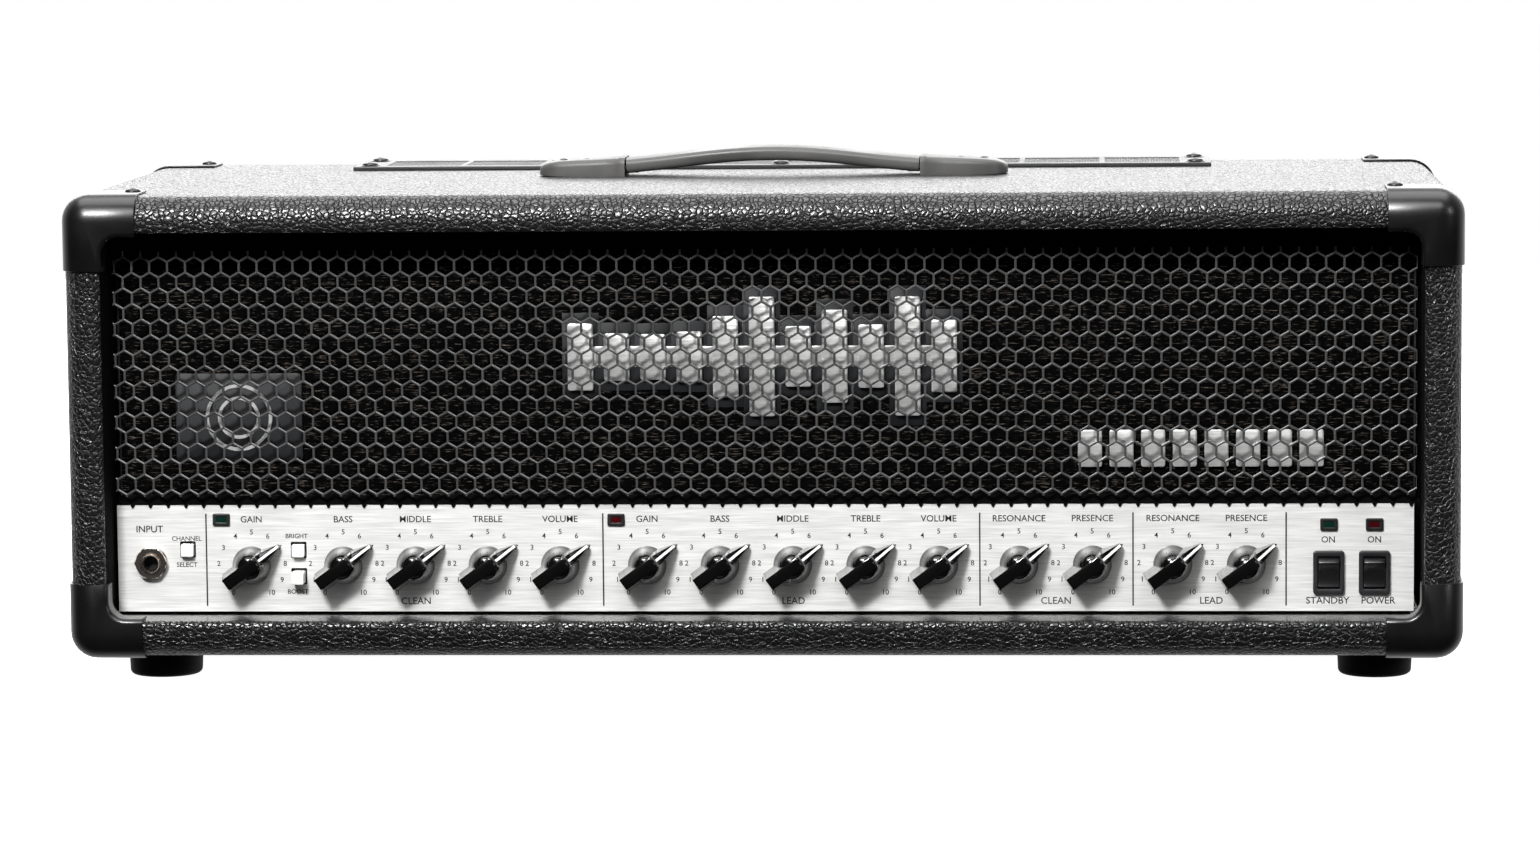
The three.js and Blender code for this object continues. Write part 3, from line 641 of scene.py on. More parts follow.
def honeycomb(shape, low, high, pitch, web, back, front, chamfer=0.0, origin=(0.0, 0.0), flat=False):
    """A sheet of hexagon holes with a point up, cut to a rectangle from low to high."""
    row = pitch * sqrt(3) / 2
    outer, hole = pitch / sqrt(3), (pitch - web) / sqrt(3)
    rows = cells_over(low[1] - origin[1], high[1] - origin[1], row)
    columns = cells_over(low[0] - origin[0], high[0] - origin[0], pitch)
    bm = bmesh.new()
    for j in rows:
        for i in columns:
            cx = origin[0] + (i + (j % 2) / 2) * pitch
            hexagon_ring(bm, cx, origin[1] + j * row, outer, hole, back, front, chamfer)
    bmesh.ops.remove_doubles(bm, verts=bm.verts, dist=0.02)
    for point, normal in (((low[0], 0, 0), (-1, 0, 0)), ((high[0], 0, 0), (1, 0, 0)),
                          ((0, 0, low[1]), (0, 0, -1)), ((0, 0, high[1]), (0, 0, 1))):
        keep_side(bm, point, normal, clear_outer=True, dist=0.005)
    bmesh.ops.holes_fill(bm, edges=[e for e in bm.edges if e.is_boundary], sides=12)
    if flat:
        turn = Matrix.Rotation(radians(90), 4, "X")
        bmesh.ops.transform(bm, matrix=turn, verts=bm.verts)
    base = len(shape.points)
    bm.verts.index_update()
    shape.points += [v.co.copy() for v in bm.verts]
    for face in bm.faces:
        shape.face(tuple(base + v.index for v in face.verts))
    bm.free()
    return shape


def cells_over(start, end, pitch):
    """Numbers of the cells that cover a stretch, with one to spare at each end."""
    return range(floor(start / pitch) - 1, ceil(end / pitch) + 2)


def hexagon_ring(bm, cx, cz, outer, hole, back, front, chamfer):
    """One cell of a honeycomb: front, chamfered hole wall and back."""
    sign = 1 if back > front else -1
    levels = [(outer, front), (hole, front), (hole, back), (outer, back)]
    if chamfer:
        levels[1:2] = [(hole + chamfer, front),
                       (hole + 0.2 * chamfer, front + sign * 0.45 * chamfer),
                       (hole, front + sign * chamfer)]
    rings = []
    for radius, y in levels:
        angles = [radians(60 * k + 30) for k in range(6)]
        rings.append([bm.verts.new((cx + radius * cos(a), y, cz + radius * sin(a)))
                      for a in angles])
    for a, b in zip(rings, rings[1:]):
        for k in range(6):
            m = (k + 1) % 6
            bm.faces.new((a[k], a[m], b[m], b[k]))


def add_grille():
    """Hexagon mesh with flat black strips above and below it, and dark web tips over the panel's edge."""
    pitch, web = 8.72, 1.2
    first_x, first_z = -309.0, 95.8
    bottom, top = grille_low.z + 3.4, 209.3
    shape = Shape()
    honeycomb(shape, (grille_low.x, bottom), (grille_high.x, top), pitch, web,
              grille_high.y, grille_low.y, 0.5, (first_x, first_z))
    width = grille_high.x - grille_low.x
    middle = (grille_low.x + grille_high.x) / 2
    # The black strips are painted shade. The upper one stands where the mesh lies in the top rail's
    # shadow, and the lower one where the mesh's turned-back edge lies in shade.
    for z0, z1, y in ((panel_high.z + 0.2, bottom, PANEL_FRONT + 0.7),
                      (top, grille_high.z, grille_high.y + 0.4)):
        shape.slab("Y", (middle, (z0 + z1) / 2), (width, z1 - z0), y, y - 0.4, 0.3, 0.1, 1, 1)
    # Dark tips on the panel's face under the webs: partly web ends, partly painted shadow of the webs.
    for k in range(int(width / pitch)):
        add_tooth(shape, first_x + (k + 0.2) * pitch)
    build("hexagon_grille", shape, [GRILLE, BLACK_AND_PAINTED_SHADE], ("front_grille",), sharp=20)


def add_tooth(shape, x):
    """A dark tip under a web, over the panel's top edge: partly the web's end, partly a painted shadow of
    the web on the panel.
    """
    root, tip = panel_high.z + 0.6, panel_high.z - 1.3
    wide, narrow = 1.3, 0.39
    y = PANEL_FRONT - 0.5
    outline = [(x - wide, root), (x - narrow, tip), (x + narrow, tip), (x + wide, root)]
    shape.loft([[Vector((u, depth, v)) for u, v in outline] for depth in (y, y + 0.4)], mark=1)


def add_cloth():
    """Cloth stretched over the front of the backing board, faintly uneven."""
    inset, gap, unevenness = 1.0, 0.4, 0.12
    columns, rows = 126, 26
    width = backing_high.x - backing_low.x - 2 * inset
    height = backing_high.z - backing_low.z - 2 * inset
    loops = []
    for i in range(columns + 1):
        x = backing_low.x + inset + width * i / columns
        loop = []
        for j in range(rows + 1):
            z = backing_low.z + inset + height * j / rows
            wave = sin(x / 9) * sin(z / 7)
            loop.append(Vector((x, backing_low.y - gap + unevenness * wave, z)))
        loops.append(loop)
    shape = Shape().loft(loops, closed=False, caps=False)
    cloth = build("stretched_grille_cloth", shape, CLOTH)
    carry("grille_backing", PLATE)


def add_battens():
    """Battens behind the board's ends and top edge, which close the gaps round it."""
    gap, width, depth = 0.3, 9.0, 10.0
    inner = HALF_WIDTH - WALL - gap
    roof = top_low.z - gap
    y0, y1 = backing_high.y + gap, backing_high.y + depth
    shape = Shape()
    for side in (-1, 1):
        centre = (side * (inner - width / 2), (backing_low.z + roof) / 2)
        shape.slab("Y", centre, (width, roof - backing_low.z), y0, y1, 0.5, 0.4, 2)
    across = 2 * (inner - width) - gap
    shape.slab("Y", (0, roof - width / 2), (across, width), y0, y1, 0.5, 0.4, 2)
    build("grille_battens", shape, BLACK_AND_PAINTED_SHADE)


def add_emblems():
    """Eleven level-meter bars, a dark plate with two rings, and a row of blank tiles."""
    front, back = emblem_low.y, emblem_low.y + 2.5
    add_meter_bars(front, back)

    plate_x, plate_z, face = -255, 127.5, back - 1.2
    plate = Shape().slab("Y", (plate_x, plate_z), (62, 43), back + 0.3, face, 2, 0.4)
    for radius in (15.5, 9.5):
        section = [(radius - 0.8, 0), (radius - 0.8, 0.5), (radius + 0.8, 0.5), (radius + 0.8, 0)]
        plate.ring(section, (plate_x, face, plate_z), FORWARD, 48, 1)
    build("left_plate", plate, [PLATE, SILVER])

    first_x, tiles_z, pitch, size = 158, 111.5, 15.2, (11.6, 18.0)
    tiles = Shape()
    for i in range(8):
        tiles.slab("Y", (first_x + i * pitch, tiles_z), size, back, front + 1, 1.2, 0.4, 3)
    build("right_blank_tiles", tiles, SILVER)


def add_meter_bars(front, back):
    """Silver bars on a dark outline, joined by a rail behind them."""
    pitch, width, each_side = 17.6, 12.4, 5
    centre = (emblem_low.z + emblem_high.z) / 2
    bars = [(i * pitch, 18 * (0.5 + 0.5 * cos(1.9 * i + 0.3 * i ** 2)))
            for i in range(-each_side, each_side + 1)]
    shape = Shape()
    for x, swing in bars:
        shape.slab("Y", (x, centre), (width, 2 * (11 + swing)), back, front, 1.2, 0.5, 3)
    shape.slab("Y", (0, centre), (2 * each_side * pitch, 10), back + 1, back - 0.2, 1, 0.2, 2)
    for x, swing in bars:
        shape.slab("Y", (x, centre), (pitch + 0.2, 2 * (16 + swing)), back + 0.8, back + 0.3,
                   0.2, 0.1, 2, 1)
    build("level_meter_bars", shape, [SILVER, PLATE], ("centre_emblem",))


# ---- panel markings

CAP_SHARE = 0.7                         # height of a capital in the font's size


def letters(text, cap, x, z, y, facing_rear=False):
    """Raised lettering as a mesh, with a cap height in millimetres, centred on x."""
    curve = bpy.data.curves.new("letters", "FONT")
    curve.body = text
    curve.size = cap / CAP_SHARE
    curve.align_x = "CENTER"
    curve.extrude = 0.01
    curve.offset = 0.045
    curve.resolution_u = 3
    carrier = add_object("letters", curve)
    bpy.context.view_layer.update()
    mesh = carrier.evaluated_get(bpy.context.evaluated_depsgraph_get()).to_mesh()
    turn = Matrix.Rotation(radians(90), 4, "X")
    if facing_rear:
        turn = Matrix.Rotation(radians(180), 4, "Z") @ turn
    move = Matrix.Translation(Vector((x, y, z - cap / 2))) @ turn
    shape = Shape()
    shape.points = [move @ v.co for v in mesh.vertices]
    for face in mesh.polygons:
        shape.face(tuple(face.vertices))
    bpy.data.objects.remove(carrier)
    bpy.data.curves.remove(curve)
    return shape


def add_rule(shape, x, z0, z1):
    """A printed upright line."""
    half = 0.36
    outline = [(x - half, z0), (x + half, z0), (x + half, z1), (x - half, z1)]
    shape.loft([[Vector((u, y, v)) for u, v in outline] for y in (PRINT_Y - 0.01, PRINT_Y + 0.01)])


def add_markings():
    """Names, dial numbers and dividing lines printed on the control panel."""
    name_z, name_cap = 78.2, 3.1
    dial_radius, dial_cap, dial_step = 16.3, 2.5, 29
    big, small = 3.3, 2.2
    foot_z = 38.2
    shape = Shape()
    for x in (-271.5, -77.7, 104.8, 178.6, 252.1):
        add_rule(shape, x, 35.6, 80.9)
    for node in KNOBS:
        x = PIVOTS[node].x
        shape.join(letters(node.split("_")[1].upper(), name_cap, x, name_z, PRINT_Y))
        for number in range(11):
            angle = radians((number - 5) * dial_step)
            at = (x + dial_radius * sin(angle), DIAL_Z + dial_radius * cos(angle))
            shape.join(letters(str(number), dial_cap, *at, PRINT_Y))
    for text, cap, x, z in [
            ("INPUT", big, -299.3, 73.5), ("CHANNEL", small, -281.2, 68.8),
            ("SELECT", small, -281.2, 56.0), ("BRIGHT", small, -227.3, 70.0),
            ("BOOST", small, -227.0, 42.8), ("CLEAN", big, -169.2, foot_z),
            ("LEAD", big, 14.5, foot_z), ("CLEAN", big, 141.5, foot_z),
            ("LEAD", big, 216.2, foot_z), ("ON", 3.0, 272.3, 67.7), ("ON", 3.0, 294.4, 67.7),
            ("STANDBY", big, 272.0, foot_z), ("POWER", big, 296.2, foot_z)]:
        shape.join(letters(text, cap, x, z, PRINT_Y))
    build("panel_markings", shape, INK, merge=False, sharp=60)


# ---- knobs and switches

KNOB_TOP = 16.0
KNOB_TIP = 17.0                         # reach of the pointer's tip from the shaft
KNOB_TAIL = 13.2
NOSE_TOP, NOSE_FOOT = 13.4, 3.4         # heights between which the nose slopes
NOSE_START = 6.4                        # reach where the slope begins
SHOULDER = 4.6                          # reach where the sides begin to close in


def pointer_outline(height):
    """The pointer's outline at a height: square tail, straight sides and a narrow nose."""
    drop = 1 - height / KNOB_TOP
    half = 3.0 + 2.2 * drop ** 1.5
    back = KNOB_TAIL + 1.2 * drop
    if height > NOSE_TOP:
        share = (KNOB_TOP - height) / (KNOB_TOP - NOSE_TOP)
        reach = NOSE_START - 1.6 + 1.6 * sqrt(max(1 - (1 - share) ** 2, 0))
    else:
        share = (NOSE_TOP - max(height, NOSE_FOOT)) / (NOSE_TOP - NOSE_FOOT)
        reach = NOSE_START + (KNOB_TIP - NOSE_START) * share
    shoulder = min(SHOULDER, reach - 0.4)
    taper = (reach - shoulder) / (KNOB_TIP - SHOULDER)
    end = half * (1 - taper) + 0.75 * taper
    right = [(half - 0.35, -back), (half, -back + 0.35), (half, 0.0), (half, shoulder),
             ((half + end) / 2 - 0.25, (shoulder + reach) / 2), (end, reach - 0.3), (end - 0.3, reach)]
    left = [(-u, v) for u, v in right]
    return left[:1] + right + left[:0:-1]


def knob_shape():
    """A pointer knob that points up, with its base at y = 0 and its top towards -Y."""
    shape = Shape()
    barrel = [(0, 0.2), (9.2, 0.2), (9.4, 0.6), (9.3, 1.0), (8.8, 2.0), (8.1, 4.0), (7.4, 6.5),
              (6.6, 8.6), (5.8, 10.2), (5.0, 11.2), (4.2, 11.7), (3.2, 11.9), (0, 11.9)]
    shape.lathe(barrel, (0, 0, 0), FORWARD, 40)
    heights = [0.8, 1.6, 3.4, 5.4, 7.4, 9.4, 11.4, 13.4, 14.2, 15.0, 15.6, 15.85]
    loops = [[Vector((u, -h, v)) for u, v in pointer_outline(h)] for h in heights]
    loops.append([Vector((p.x * 0.93, -KNOB_TOP, p.z * 0.985 + (0.1 if p.z < 0 else -0.1)))
                  for p in loops[-1]])
    shape.loft(loops)
    slope = (NOSE_TOP - NOSE_FOOT) / (KNOB_TIP - NOSE_START)
    half_line = 0.62
    line = []
    for v in (NOSE_START + 0.1, KNOB_TIP - 0.25):
        y = slope * (v - NOSE_START) - NOSE_TOP
        line.append([Vector((-half_line, y + 0.3, v)), Vector((half_line, y + 0.3, v)),
                     Vector((half_line, y - 0.16, v)), Vector((-half_line, y - 0.16, v))])
    shape.loft(line, mark=1)
    return shape


def add_knobs():
    shape = knob_shape()
    turn = Matrix.Rotation(KNOB_REST, 4, "Y")
    base = PANEL_FRONT - 0.8
    for node in KNOBS:
        pivot = PIVOTS[node]
        moved = Shape().join(shape, Matrix.Translation((pivot.x, base, pivot.z)) @ turn)
        build(node.replace("_knob", "_pointer_knob"), moved, [KNOB, WHITE],
              (node,), node, sharp=38)


def add_buttons():
    for node in ("channel_button", "bright_button", "boost_button"):
        centre, size, low, high = seen_from_front(node)
        cap = Shape().slab("Y", centre, size, high.y, low.y, 0.7, 0.45, 3)
        build(node + "_cap", cap, BUTTON, (node,), node)
        liner = Shape().bezel((centre[0], centre[1] + 0.25), (7.7, 8.0), (6.5, 6.7),
                              PANEL_FRONT - 0.06, PANEL_FRONT + 0.3, 0.5, 0.05, 2)
        build(node + "_liner", liner, BLACK_AND_PAINTED_SHADE)


def add_lamps():
    for node, lens in (("clean_lamp", LENS_GREEN), ("lead_lamp", LENS_RED),
                       ("standby_lamp", LENS_GREEN), ("power_lamp", LENS_RED)):
        centre, (width, height), low, high = seen_from_front(node)
        front, back = low.y, PRINT_Y
        shape = Shape()
        shape.bezel(centre, (width, height), (width - 3.6, height - 3.0), front, back, 0.7, 0.35)
        shape.slab("Y", centre, (width - 3.2, height - 2.6), back + 2, front + 0.35, 0.3, 0.15, 2, 1)
        shape.slab("Y", centre, (width - 2.2, height - 2.2), high.y, back + 0.2, 0.3, 0.15, 2)
        build(node + "_indicator", shape, [SOCKET, lens], (node,))


def add_rockers():
    window = (10.7, 15.8)
    for name in ("standby_switch", "power_switch"):
        housing = name + "_housing"
        centre, size, low, high = seen_from_front(housing)
        shape = Shape()
        shape.bezel(centre, size, window, low.y, PRINT_Y, 1.6, 0.7, 5)
        shape.bezel(centre, (13.0, 18.9), window, PANEL_FRONT, high.y, 0.6, 0.2, 3)
        shape.slab("Y", centre, (12, 17.5), high.y, high.y - 2, 0.4, 0.2, 2)
        build(name + "_bezel", shape, SWITCH, (housing,))
        add_rocker(name, name + "_rocker")


def add_rocker(name, node):
    """A barrel-sided rocker with a shallow valley across its face, its lower half pressed in."""
    radius, face, half = 7.7, 3.0, 5.1
    tilt = radians(10)
    end = degrees(asin((face + 1.2) / radius))
    rim = (radius * 0.93 * cos(radians(end)), face + 1.1)
    valley = [rim, (4.6, face + 0.42), (2.0, face + 0.06)]
    outline = arc(radius, -20, end - 6, 8) + valley + [(0, face)]
    outline += [(-u, v) for u, v in reversed(valley)] + arc(radius, 186 - end, 200, 8)
    move = Matrix.Translation(PIVOTS[node]) @ Matrix.Rotation(pi / 2 + tilt, 4, "X")
    sides = ((-half, 0.5), (-half + 0.15, 0.15), (-half + 0.5, 0), (half - 0.5, 0),
             (half - 0.15, 0.15), (half, 0.5))
    loops = [[move @ Vector((x, u * (1 - inset / radius), v - inset * (v > 0) * 0.6))
              for u, v in outline] for x, inset in sides]
    build(name + "_lever", Shape().loft(loops), ROCKER, (node,), node, sharp=30)


def add_input_jack():
    """A socket's washer, hexagon nut and sleeve, with a dark bore and a box behind the panel."""
    jack_x, jack_z, across = -298.5, 57.0, 14.6
    centre = (jack_x, PANEL_FRONT, jack_z)
    shape = Shape()
    washer = [(4.6, 0), (7.9, 0), (8.0, 0.3), (7.8, 0.7), (7.3, 0.95), (4.6, 1.0)]
    shape.ring(washer, centre, FORWARD, 56)
    shape.nut([(1.0, 7.738), (1.25, 7.95), (3.1, 7.95), (3.6, 7.42), (3.6, 5.2), (3.0, 4.5)], across,
              centre, FORWARD, 48)
    sleeve = [(3.5, -20), (3.5, 4.7), (3.9, 5.3), (4.3, 5.3), (4.5, 5.0), (4.5, 0.0), (4.5, -20)]
    shape.ring(sleeve, centre, FORWARD, 40)
    bore = [(3.45, -16), (3.45, 3.2), (3.3, 3.4), (3.2, 3.2), (3.2, -16)]
    shape.ring(bore, centre, FORWARD, 32, 1)
    shape.lathe([(0, -17), (4.4, -17), (4.4, -16), (0, -16)], centre, FORWARD, 24, 1)
    shape.slab("Y", (jack_x, jack_z), (18, 18), span("input_jack")[1].y, panel_high.y + 0.3,
               1.5, 0.4, 3, 1)
    build("input_socket", shape, [CHROME, SOCKET], ("input_jack",), sharp=30)


# ---- top

def add_vent():
    """A pressed plate with ten perforated windows over a flat black sheet that paints the shade under
    them.
    """
    low, high = span("top_vent_plate")
    z0, z1 = low.z, low.z + 2.0
    x0, x1, y0, y1 = low.x, high.x, low.y, high.y
    count, bar, end_border, border = 10, 3.0, 16.0, 8.0
    window = (x1 - x0 - 2 * end_border - (count - 1) * bar) / count
    lefts = [x0 + end_border + i * (window + bar) for i in range(count)]
    xs = [x0, *[left + share for left in lefts for share in (0, window)], x1]
    ys = [y0, y0 + border, y1 - border, y1]
    build("vent_plate_frame", grid_plate(xs, ys, z0, z1), COAT,
          ("top_vent_plate",), bevel=0.5)

    perforation = Shape()
    for left in lefts:
        honeycomb(perforation, (left, -ys[2]), (left + window, -ys[1]), 2.9, 0.95, z0 + 1.5,
                  z0 + 0.9, 0.0, (left, -ys[2]), flat=True)
    build("vent_perforation", perforation, COAT, sharp=20)
    # A black sheet under the windows: painted shade in place of the dark inside seen through them.
    painted_shade_sheet = Shape().slab("Z", ((x0 + x1) / 2, (y0 + y1) / 2), (x1 - x0 - 6, y1 - y0 - 6), z0 + 0.02,
                          z0 + 0.35, 1, 0.1, 2)
    build("black_screen_painted_shade", painted_shade_sheet, BLACK_AND_PAINTED_SHADE)

    washer = [(0, 0), (5.0, 0), (5.0, 0.3), (4.6, 0.5), (0, 0.5)]
    screws = Shape()
    for x in (x0 + border, (x0 + x1) / 2, x1 - border):
        for y in (y0 + border, y1 - border):
            screws.lathe(washer, (x, y, z1), UP, 28)
            screws.dome_screw(x, y, z1 + 0.35, 4.2, 1.7)
    build("vent_screws", screws, BLACK_SCREW)


def grid_plate(xs, ys, z0, z1):
    """A flat plate between grid lines, with a window in every second cell of its middle row."""
    shape = Shape()
    nx, ny = len(xs), len(ys)
    filled = {(i, j) for i in range(nx - 1) for j in range(ny - 1) if not (j == 1 and i % 2 == 1)}
    for z in (z0, z1):
        shape.points += [Vector((x, y, z)) for y in ys for x in xs]

    def at(i, j, level):
        return level * nx * ny + j * nx + i

    sides = ((0, -1, (0, 0), (1, 0)), (1, 0, (1, 0), (1, 1)), (0, 1, (1, 1), (0, 1)),
             (-1, 0, (0, 1), (0, 0)))
    for i, j in sorted(filled):
        shape.face((at(i, j, 1), at(i + 1, j, 1), at(i + 1, j + 1, 1), at(i, j + 1, 1)))
        shape.face((at(i, j, 0), at(i, j + 1, 0), at(i + 1, j + 1, 0), at(i + 1, j, 0)))
        for di, dj, a, b in sides:
            if (i + di, j + dj) not in filled:
                p, q = (i + a[0], j + a[1]), (i + b[0], j + b[1])
                shape.face((at(*p, 0), at(*q, 0), at(*q, 1), at(*p, 1)))
    return shape


def hood(half, height, radius, under):
    """A cap's outline across: rounded top corners and a flat underside."""
    outline = arc(radius, 0, 90, 5, half - radius, height - radius)
    outline += [(-u, v) for u, v in reversed(outline)]
    return outline + [(-half, under), (half, under)]


def add_handle_cap(node, sx):
    """A hollow cap, open towards the strap: rounded outer end, raised mouth, two screws."""
    low, high = span(node)
    near = low.x if sx > 0 else high.x
    length, width = high.x - low.x, high.y - low.y
    y = (low.y + high.y) / 2
    foot, top = low.z, high.z

    def across(along, outline):
        return [Vector((near + sx * along, y + u, foot + v)) for u, v in outline]

    stations = [(0.0, 0.0, 0.0), (0.4, 0.0, 0.0), (3.0, 0.0, 0.0), (3.6, 0.35, 0.5), (12.0, 0.5, 1.0),
                (24.0, 0.6, 1.6), (33.0, 1.2, 2.2), (38.0, 2.6, 3.2), (41.0, 4.8, 4.4), (43.0, 8.0, 5.8),
                (length, 11.5, 7.0)]
    outside = []
    for along, narrow, lower in stations:
        under = max(along - 30, 0) * 0.05
        height = top - lower * 0.75 - foot
        outside.append(across(along, hood(width / 2 - narrow, height, 3.0, under)))
    inside = [across(along, hood(12.6, top - foot - 1.8, 2.0, 0.35)) for along in (0.0, length - 10)]
    shape = Shape().loft(outside[::-1] + inside)
    screw = [(0, 0), (1.9, 0), (1.9, 0.35), (1.5, 0.5), (0.9, 0.5), (0.7, 0.1), (0, 0.1)]
    for along in (20.0, 32.0):
        shape.lathe(screw, (near + sx * along, y, top - 1.35), UP, 20, 1)
    build(node + "_cover", shape, [HANDLE, BLACK_SCREW], (node,), sharp=40)


def add_strap():
    """A bowed strap with rounded edges, and flat tongues in the caps."""
    low, high = span("handle_strap")
    cap_low, cap_high = span("handle_cap_left")
    y = (low.y + high.y) / 2
    centre = (low.x + high.x) / 2
    foot = cap_low.z
    reach = (span("handle_cap_right")[0].x - cap_high.x) / 2 - 0.7
    steps = 44
    outline = strap_section(12.0, 3.7)

    def height(x):
        rise, half_wave = 6.9, 95
        return foot + 4.4 + rise * (0.5 + 0.5 * cos(pi * x / half_wave))

    loops = []
    for i in range(steps + 1):
        x = -reach + 2 * reach * i / steps
        slope = (height(x + 0.1) - height(x - 0.1)) / 0.2
        across = Vector((-slope, 0, 1)).normalized()
        loops.append([Vector((centre + x, y + u, height(x))) + across * v for u, v in outline])
    shape = Shape().loft(loops)
    for sx, outer in ((-1, low.x), (1, high.x)):
        inner = centre + sx * (reach - 6)
        shape.slab("Z", ((inner + outer) / 2, y), (abs(outer - inner), 18), foot + 1.6, foot + 4.6,
                   1.5, 0.5, 3)
    build("carrying_strap", shape, HANDLE, ("handle_strap",), "handle_strap",
          sharp=40)


def strap_section(half_width, half_thick):
    """Flat underside, crowned top, and rounded edges."""
    edge, crown = 2.4, 0.6
    u, low, high = half_width - edge, edge - half_thick, half_thick - edge - crown
    points = arc(edge, -90, 0, 5, u, low) + arc(edge, 0, 90, 5, u, high)
    points += [(x, half_thick - crown * (x / half_width) ** 2) for x in (6.0, 3.0, 0.0, -3.0, -6.0)]
    return points + arc(edge, 90, 180, 5, -u, high) + arc(edge, 180, 270, 5, -u, low)


# ---- rear and inside

def rear_nut(shape, centre, across, height, hole):
    """A chamfered nut with a round hole, on a thin washer, facing the rear."""
    washer, corner, chamfered = across * 0.62, across * 0.58, across * 0.53
    shape.ring([(hole, 0), (washer, 0), (washer, 0.6), (hole, 0.6)], centre, BACKWARD, 40)
    shape.nut([(0.6, across * 0.54), (0.9, corner), (height - 0.3, corner), (height, chamfered),
               (height, hole), (0.6, hole)], across, centre, BACKWARD, 36)


def socket_places():
    """Centres of the six quarter-inch sockets across the rear."""
    low, high = span("rear_sockets")
    return [(low.x + high.x) / 2 + (i - 2.5) * SOCKET_PITCH for i in range(6)]


def add_rear_sockets():
    (_, z), _, _, high = seen_from_front("rear_sockets")
    sleeve = [(3.6, -12), (3.6, 4.2), (4.0, 4.6), (4.5, 4.4), (4.6, 4.0), (4.6, -12)]
    shape = Shape()
    for x in socket_places():
        at = (x, high.y, z)
        rear_nut(shape, at, 11.0, 3.0, 4.6)
        shape.ring(sleeve, at, BACKWARD, 32, 1)
        shape.lathe([(0, -12.6), (4.5, -12.6), (4.5, -12), (0, -12)], at, BACKWARD, 20, 1)
    build("rear_socket_nuts", shape, [STEEL, SOCKET], sharp=30)
    carry("rear_sockets", SOCKET)


def add_inlet():
    """A three-pin mains inlet with a screwed flange."""
    (x, z), _, low, high = seen_from_front("mains_inlet")
    well, nose = (24, 16.5), (27.6, 20.2)
    back = REAR_WALL
    shape = Shape()
    shape.bezel((x, z), (50, 24), well, high.y, back + 0.02, 4, 0.5, 6)
    shape.bezel((x, z), nose, well, back - 0.5, low.y + 3, 1, 0.2, 3)
    shape.slab("Y", (x, z), nose, low.y, low.y + 3, 1, 0.2, 3)
    for dx, dz in ((-7, 2), (7, 2), (0, -2)):
        shape.slab("Y", (x + dx, z + dz), (2, 4), low.y + 2, low.y + 16, 0.4, 0.4, 2, 1)
    for dx in (-20, 20):
        shape.dome_screw(x + dx, high.y, z, 3.0, 1.2, BACKWARD, 1)
    build("mains_inlet_socket", shape, [SOCKET, STEEL], ("mains_inlet",))


def add_selector():
    """A small pointer knob on a shaft."""
    node = "impedance_selector"
    pivot = PIVOTS[node]
    low, high = span(node)
    r = (high.x - low.x) / 2
    skirt = [(0, 0), (r, 0), (r, 0.8), (r - 0.5, 1.2), (r - 1.4, 6.2), (r - 1.8, 6.8), (0, 7)]
    shape = Shape().lathe(skirt, (pivot.x, high.y - 10, pivot.z), BACKWARD, 40)
    shape.slab("Y", (pivot.x, pivot.z), (3.2, 2 * r - 3), high.y - 9, high.y, 0.8, 0.5, 3)
    shape.slab("Y", (pivot.x, pivot.z + r / 2), (0.8, r - 3), high.y - 0.3, high.y + 0.02, 0.3, 0.01, 2, 1)
    shape.lathe([(0, 0), (3, 0), (3, 10), (0, 10)], (pivot.x, low.y, pivot.z), BACKWARD, 16)
    build("impedance_pointer", shape, [KNOB, WHITE], (node,), node, sharp=38)


def add_rear_guard():
    """Perforated sheet in a plain frame held by ten screws."""
    centre, (width, height), low, high = seen_from_front("rear_guard")
    border = 8.0
    shape = Shape()
    honeycomb(shape, (low.x + border, low.z + border), (high.x - border, high.z - border), 6.0, 1.5,
              low.y + 0.3, high.y - 0.3, 0.0, (0, centre[1]))
    build("rear_guard_perforation", shape, COAT, sharp=20)
    ring = Shape().bezel(centre, (width, height), (width - 2 * border, height - 2 * border), high.y,
                         low.y, 2, 0.4, 3)
    for x in (-300, -150, 0, 150, 300):
        for z in (low.z + 4.2, high.z - 4.2):
            ring.dome_screw(x, high.y, z, 3.0, 1.5, BACKWARD, 1)
    build("rear_guard_frame", ring, [COAT, BLACK_SCREW], ("rear_guard",))


def add_rear_marks():
    """Generic words beside the fittings on the rear wall, in white."""
    wall = REAR_WALL + 0.02
    name_z, name_cap, number_cap = 72.5, 2.4, 2.8
    shape = Shape()
    words = ("SPEAKER", "SPEAKER", "SEND", "RETURN", "LINE OUT", "FOOTSWITCH")
    for x, text in zip(socket_places(), words):
        shape.join(letters(text, name_cap, x, name_z, wall, facing_rear=True))
    pivot = PIVOTS["impedance_selector"]
    for text, dx, dz in (("4", 11, 9), ("8", 0, 14), ("16", -12, 9)):
        shape.join(letters(text, number_cap, pivot.x + dx, pivot.z + dz, wall, facing_rear=True))
    build("rear_markings", shape, WHITE, merge=False, sharp=60)


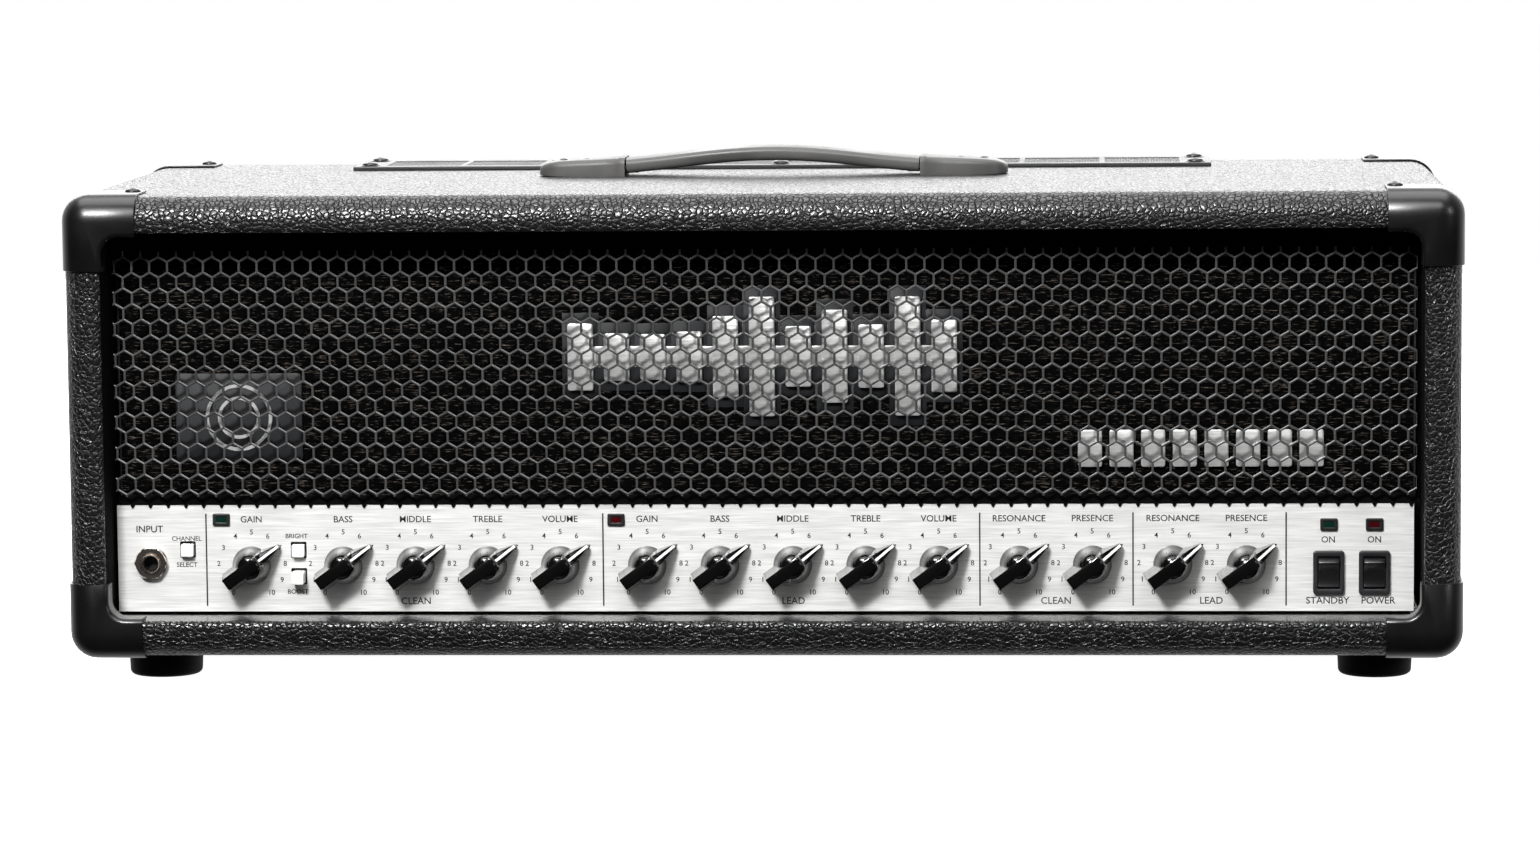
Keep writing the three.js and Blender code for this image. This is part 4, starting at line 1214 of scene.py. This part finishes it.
def add_valves(node, count, pitch, base, skirt, strip, bottle, height):
    """Glass bottles over dark anodes, on moulded bases, in a row on a strip."""
    low, high = span(node)
    x, y = (low.x + high.x) / 2, (low.y + high.y) / 2
    plate, tall = bottle * 0.55, height * 0.66
    socket = [(0, 0), (base, 0), (base, skirt - 1), (base - 1, skirt), (0, skirt)]
    mica = [(0, 0), (bottle * 0.8, 0), (bottle * 0.8, 1), (0, 1)]
    envelope = [(0, skirt + 0.3), (bottle * 0.96, skirt + 0.3), (bottle, skirt + 5)]
    envelope += arc(bottle, 0, 80, 8, 0, height - bottle)
    envelope += [(bottle * 0.12, height - 0.6), (0, height)]
    holder, glass = Shape(), Shape()
    holder.slab("Z", (x, y), (high.x - low.x, high.y - low.y), low.z, low.z + strip, 2, 0.3, 3)
    for i in range(count):
        at = (x + (i - (count - 1) / 2) * pitch, y, low.z + strip)
        holder.lathe(socket, at, UP, 28)
        holder.slab("Z", at[:2], (2 * plate, 1.2 * plate), at[2] + skirt, at[2] + tall, 2, 0.4, 3, 1)
        holder.lathe(mica, (*at[:2], at[2] + tall), UP, 24, 1)
        glass.lathe(envelope, at, UP, 28)
    build(node + "_sockets", holder, [SOCKET, ANODE], (node,))
    build(node + "_bottles", glass, GLASS, sharp=60)


def add_transformer(node):
    """Four bolts through the corners of the laminations."""
    (x, z), (width, height), low, high = seen_from_front(node)
    face = (low.y + high.y) / 2 + (high.y - low.y) / 2.16 / 2
    inset = 6
    bolts = Shape()
    for sx in (-1, 1):
        for sz in (-1, 1):
            at = (x + sx * (width / 2 - inset), face, z + sz * (height / 2 - inset))
            rear_nut(bolts, at, 8.0, 4.0, 1.8)
            bolts.lathe([(0, 0), (2, 0), (2, 6), (1.6, 6.4), (0, 6.4)], at, BACKWARD, 16)
    build(node + "_bolts", bolts, STEEL)
    carry(node, IRON)


# ---- studio

def add_camera():
    lens = bpy.data.cameras.new("camera")
    lens.lens = 128.17
    lens.sensor_width = 36
    lens.clip_end = 60
    camera = add_object("camera", lens)
    yaw, pitch, roll = radians(3.475), radians(-6.0), radians(-0.506)
    camera.matrix_world = (Matrix.Translation((0.1634, -2.7396, 0.4003))
                           @ Matrix.Rotation(yaw, 4, "Z")
                           @ Matrix.Rotation(pi / 2 + pitch, 4, "X")
                           @ Matrix.Rotation(roll, 4, "Z"))
    bpy.context.scene.camera = camera


def add_softbox(name, place_at, aim, size, watts):
    light = bpy.data.lights.new(name, "AREA")
    light.shape = "RECTANGLE"
    light.size, light.size_y = size
    light.energy = watts
    lamp = add_object(name, light)
    lamp.location = place_at
    lamp.rotation_euler = (Vector(aim) - Vector(place_at)).to_track_quat("-Z", "Y").to_euler()


def add_floor():
    """A wide pale floor."""
    side, front, back = 2.0, -0.62, 2.4
    mesh = bpy.data.meshes.new("floor")
    mesh.from_pydata([(-side, front, 0), (side, front, 0), (side, back, 0), (-side, back, 0)],
                     [], [(0, 1, 2, 3)])
    finish = Finish("floor_paper", (0.9, 0.9, 0.9), 0.9, Emission_Color=(1, 1, 1, 1),
                    Emission_Strength=1.0)
    mesh.materials.append(finish.material)
    ground = add_object("floor", mesh)
    ground.location.z = -0.0002
    ground.visible_glossy = False
    ground.visible_diffuse = False


def add_world():
    """White all round for the lens, and a soft glow from behind for the object."""
    world = bpy.data.worlds.new("studio")
    world.use_nodes = True
    bpy.context.scene.world = world
    background = world.node_tree.nodes["Background"].inputs
    background["Color"].default_value = (1, 1, 1, 1)
    nodes = Nodes(world.node_tree)
    direction = nodes.node("TexCoord").outputs["Generated"]
    rearward = nodes.node("SeparateXYZ", Vector=direction).outputs["Y"]
    glow = nodes.between(rearward, 0.03, 1.0, 0.0, 0.8)
    seen = nodes.node("LightPath").outputs["Is Camera Ray"]
    nodes.feed(background["Strength"], nodes.maths("MAXIMUM", glow, seen))


def add_studio():
    bpy.context.scene.view_settings.view_transform = "Standard"
    add_floor()
    add_world()
    add_softbox("overhead", (0, 0.1, 2.2), (0, 0, 0.1), (3.0, 1.6), 68)
    add_softbox("strip", (-0.1, -1.8, 1.9), (0, -0.1, 0.15), (2.4, 0.8), 40)
    add_softbox("key", (-0.62, -2.1, 1.6), (0, -0.1, 0.12), (0.42, 0.34), 86)
    add_softbox("right_side", (2.4, -1.6, 1.0), (0.2, 0, 0.13), (0.5, 0.8), 12)
    add_softbox("behind", (0, 3.6, 1.7), (0, 0, 0.2), (4.5, 2.0), 104)


add_camera()
add_studio()
add_vinyl()
add_protectors()
add_guard_screws()
add_feet()
add_grille()
add_cloth()
add_battens()
add_emblems()
add_markings()
add_knobs()
add_buttons()
add_lamps()
add_rockers()
add_input_jack()
add_vent()
add_handle_cap("handle_cap_left", -1)
add_handle_cap("handle_cap_right", 1)
add_strap()
add_rear_sockets()
add_inlet()
add_selector()
add_rear_guard()
add_rear_marks()
add_valves("power_valves", 4, 52, base=16.5, skirt=15.0, strip=3, bottle=18.2, height=82.0)
add_valves("preamp_valves", 7, 42, base=11.0, skirt=5.0, strip=2, bottle=10.6, height=51.0)
add_transformer("mains_transformer")
add_transformer("output_transformer")
carry("control_panel", PANEL)
carry("chassis", COAT)
carry("circuit_board", BOARD)
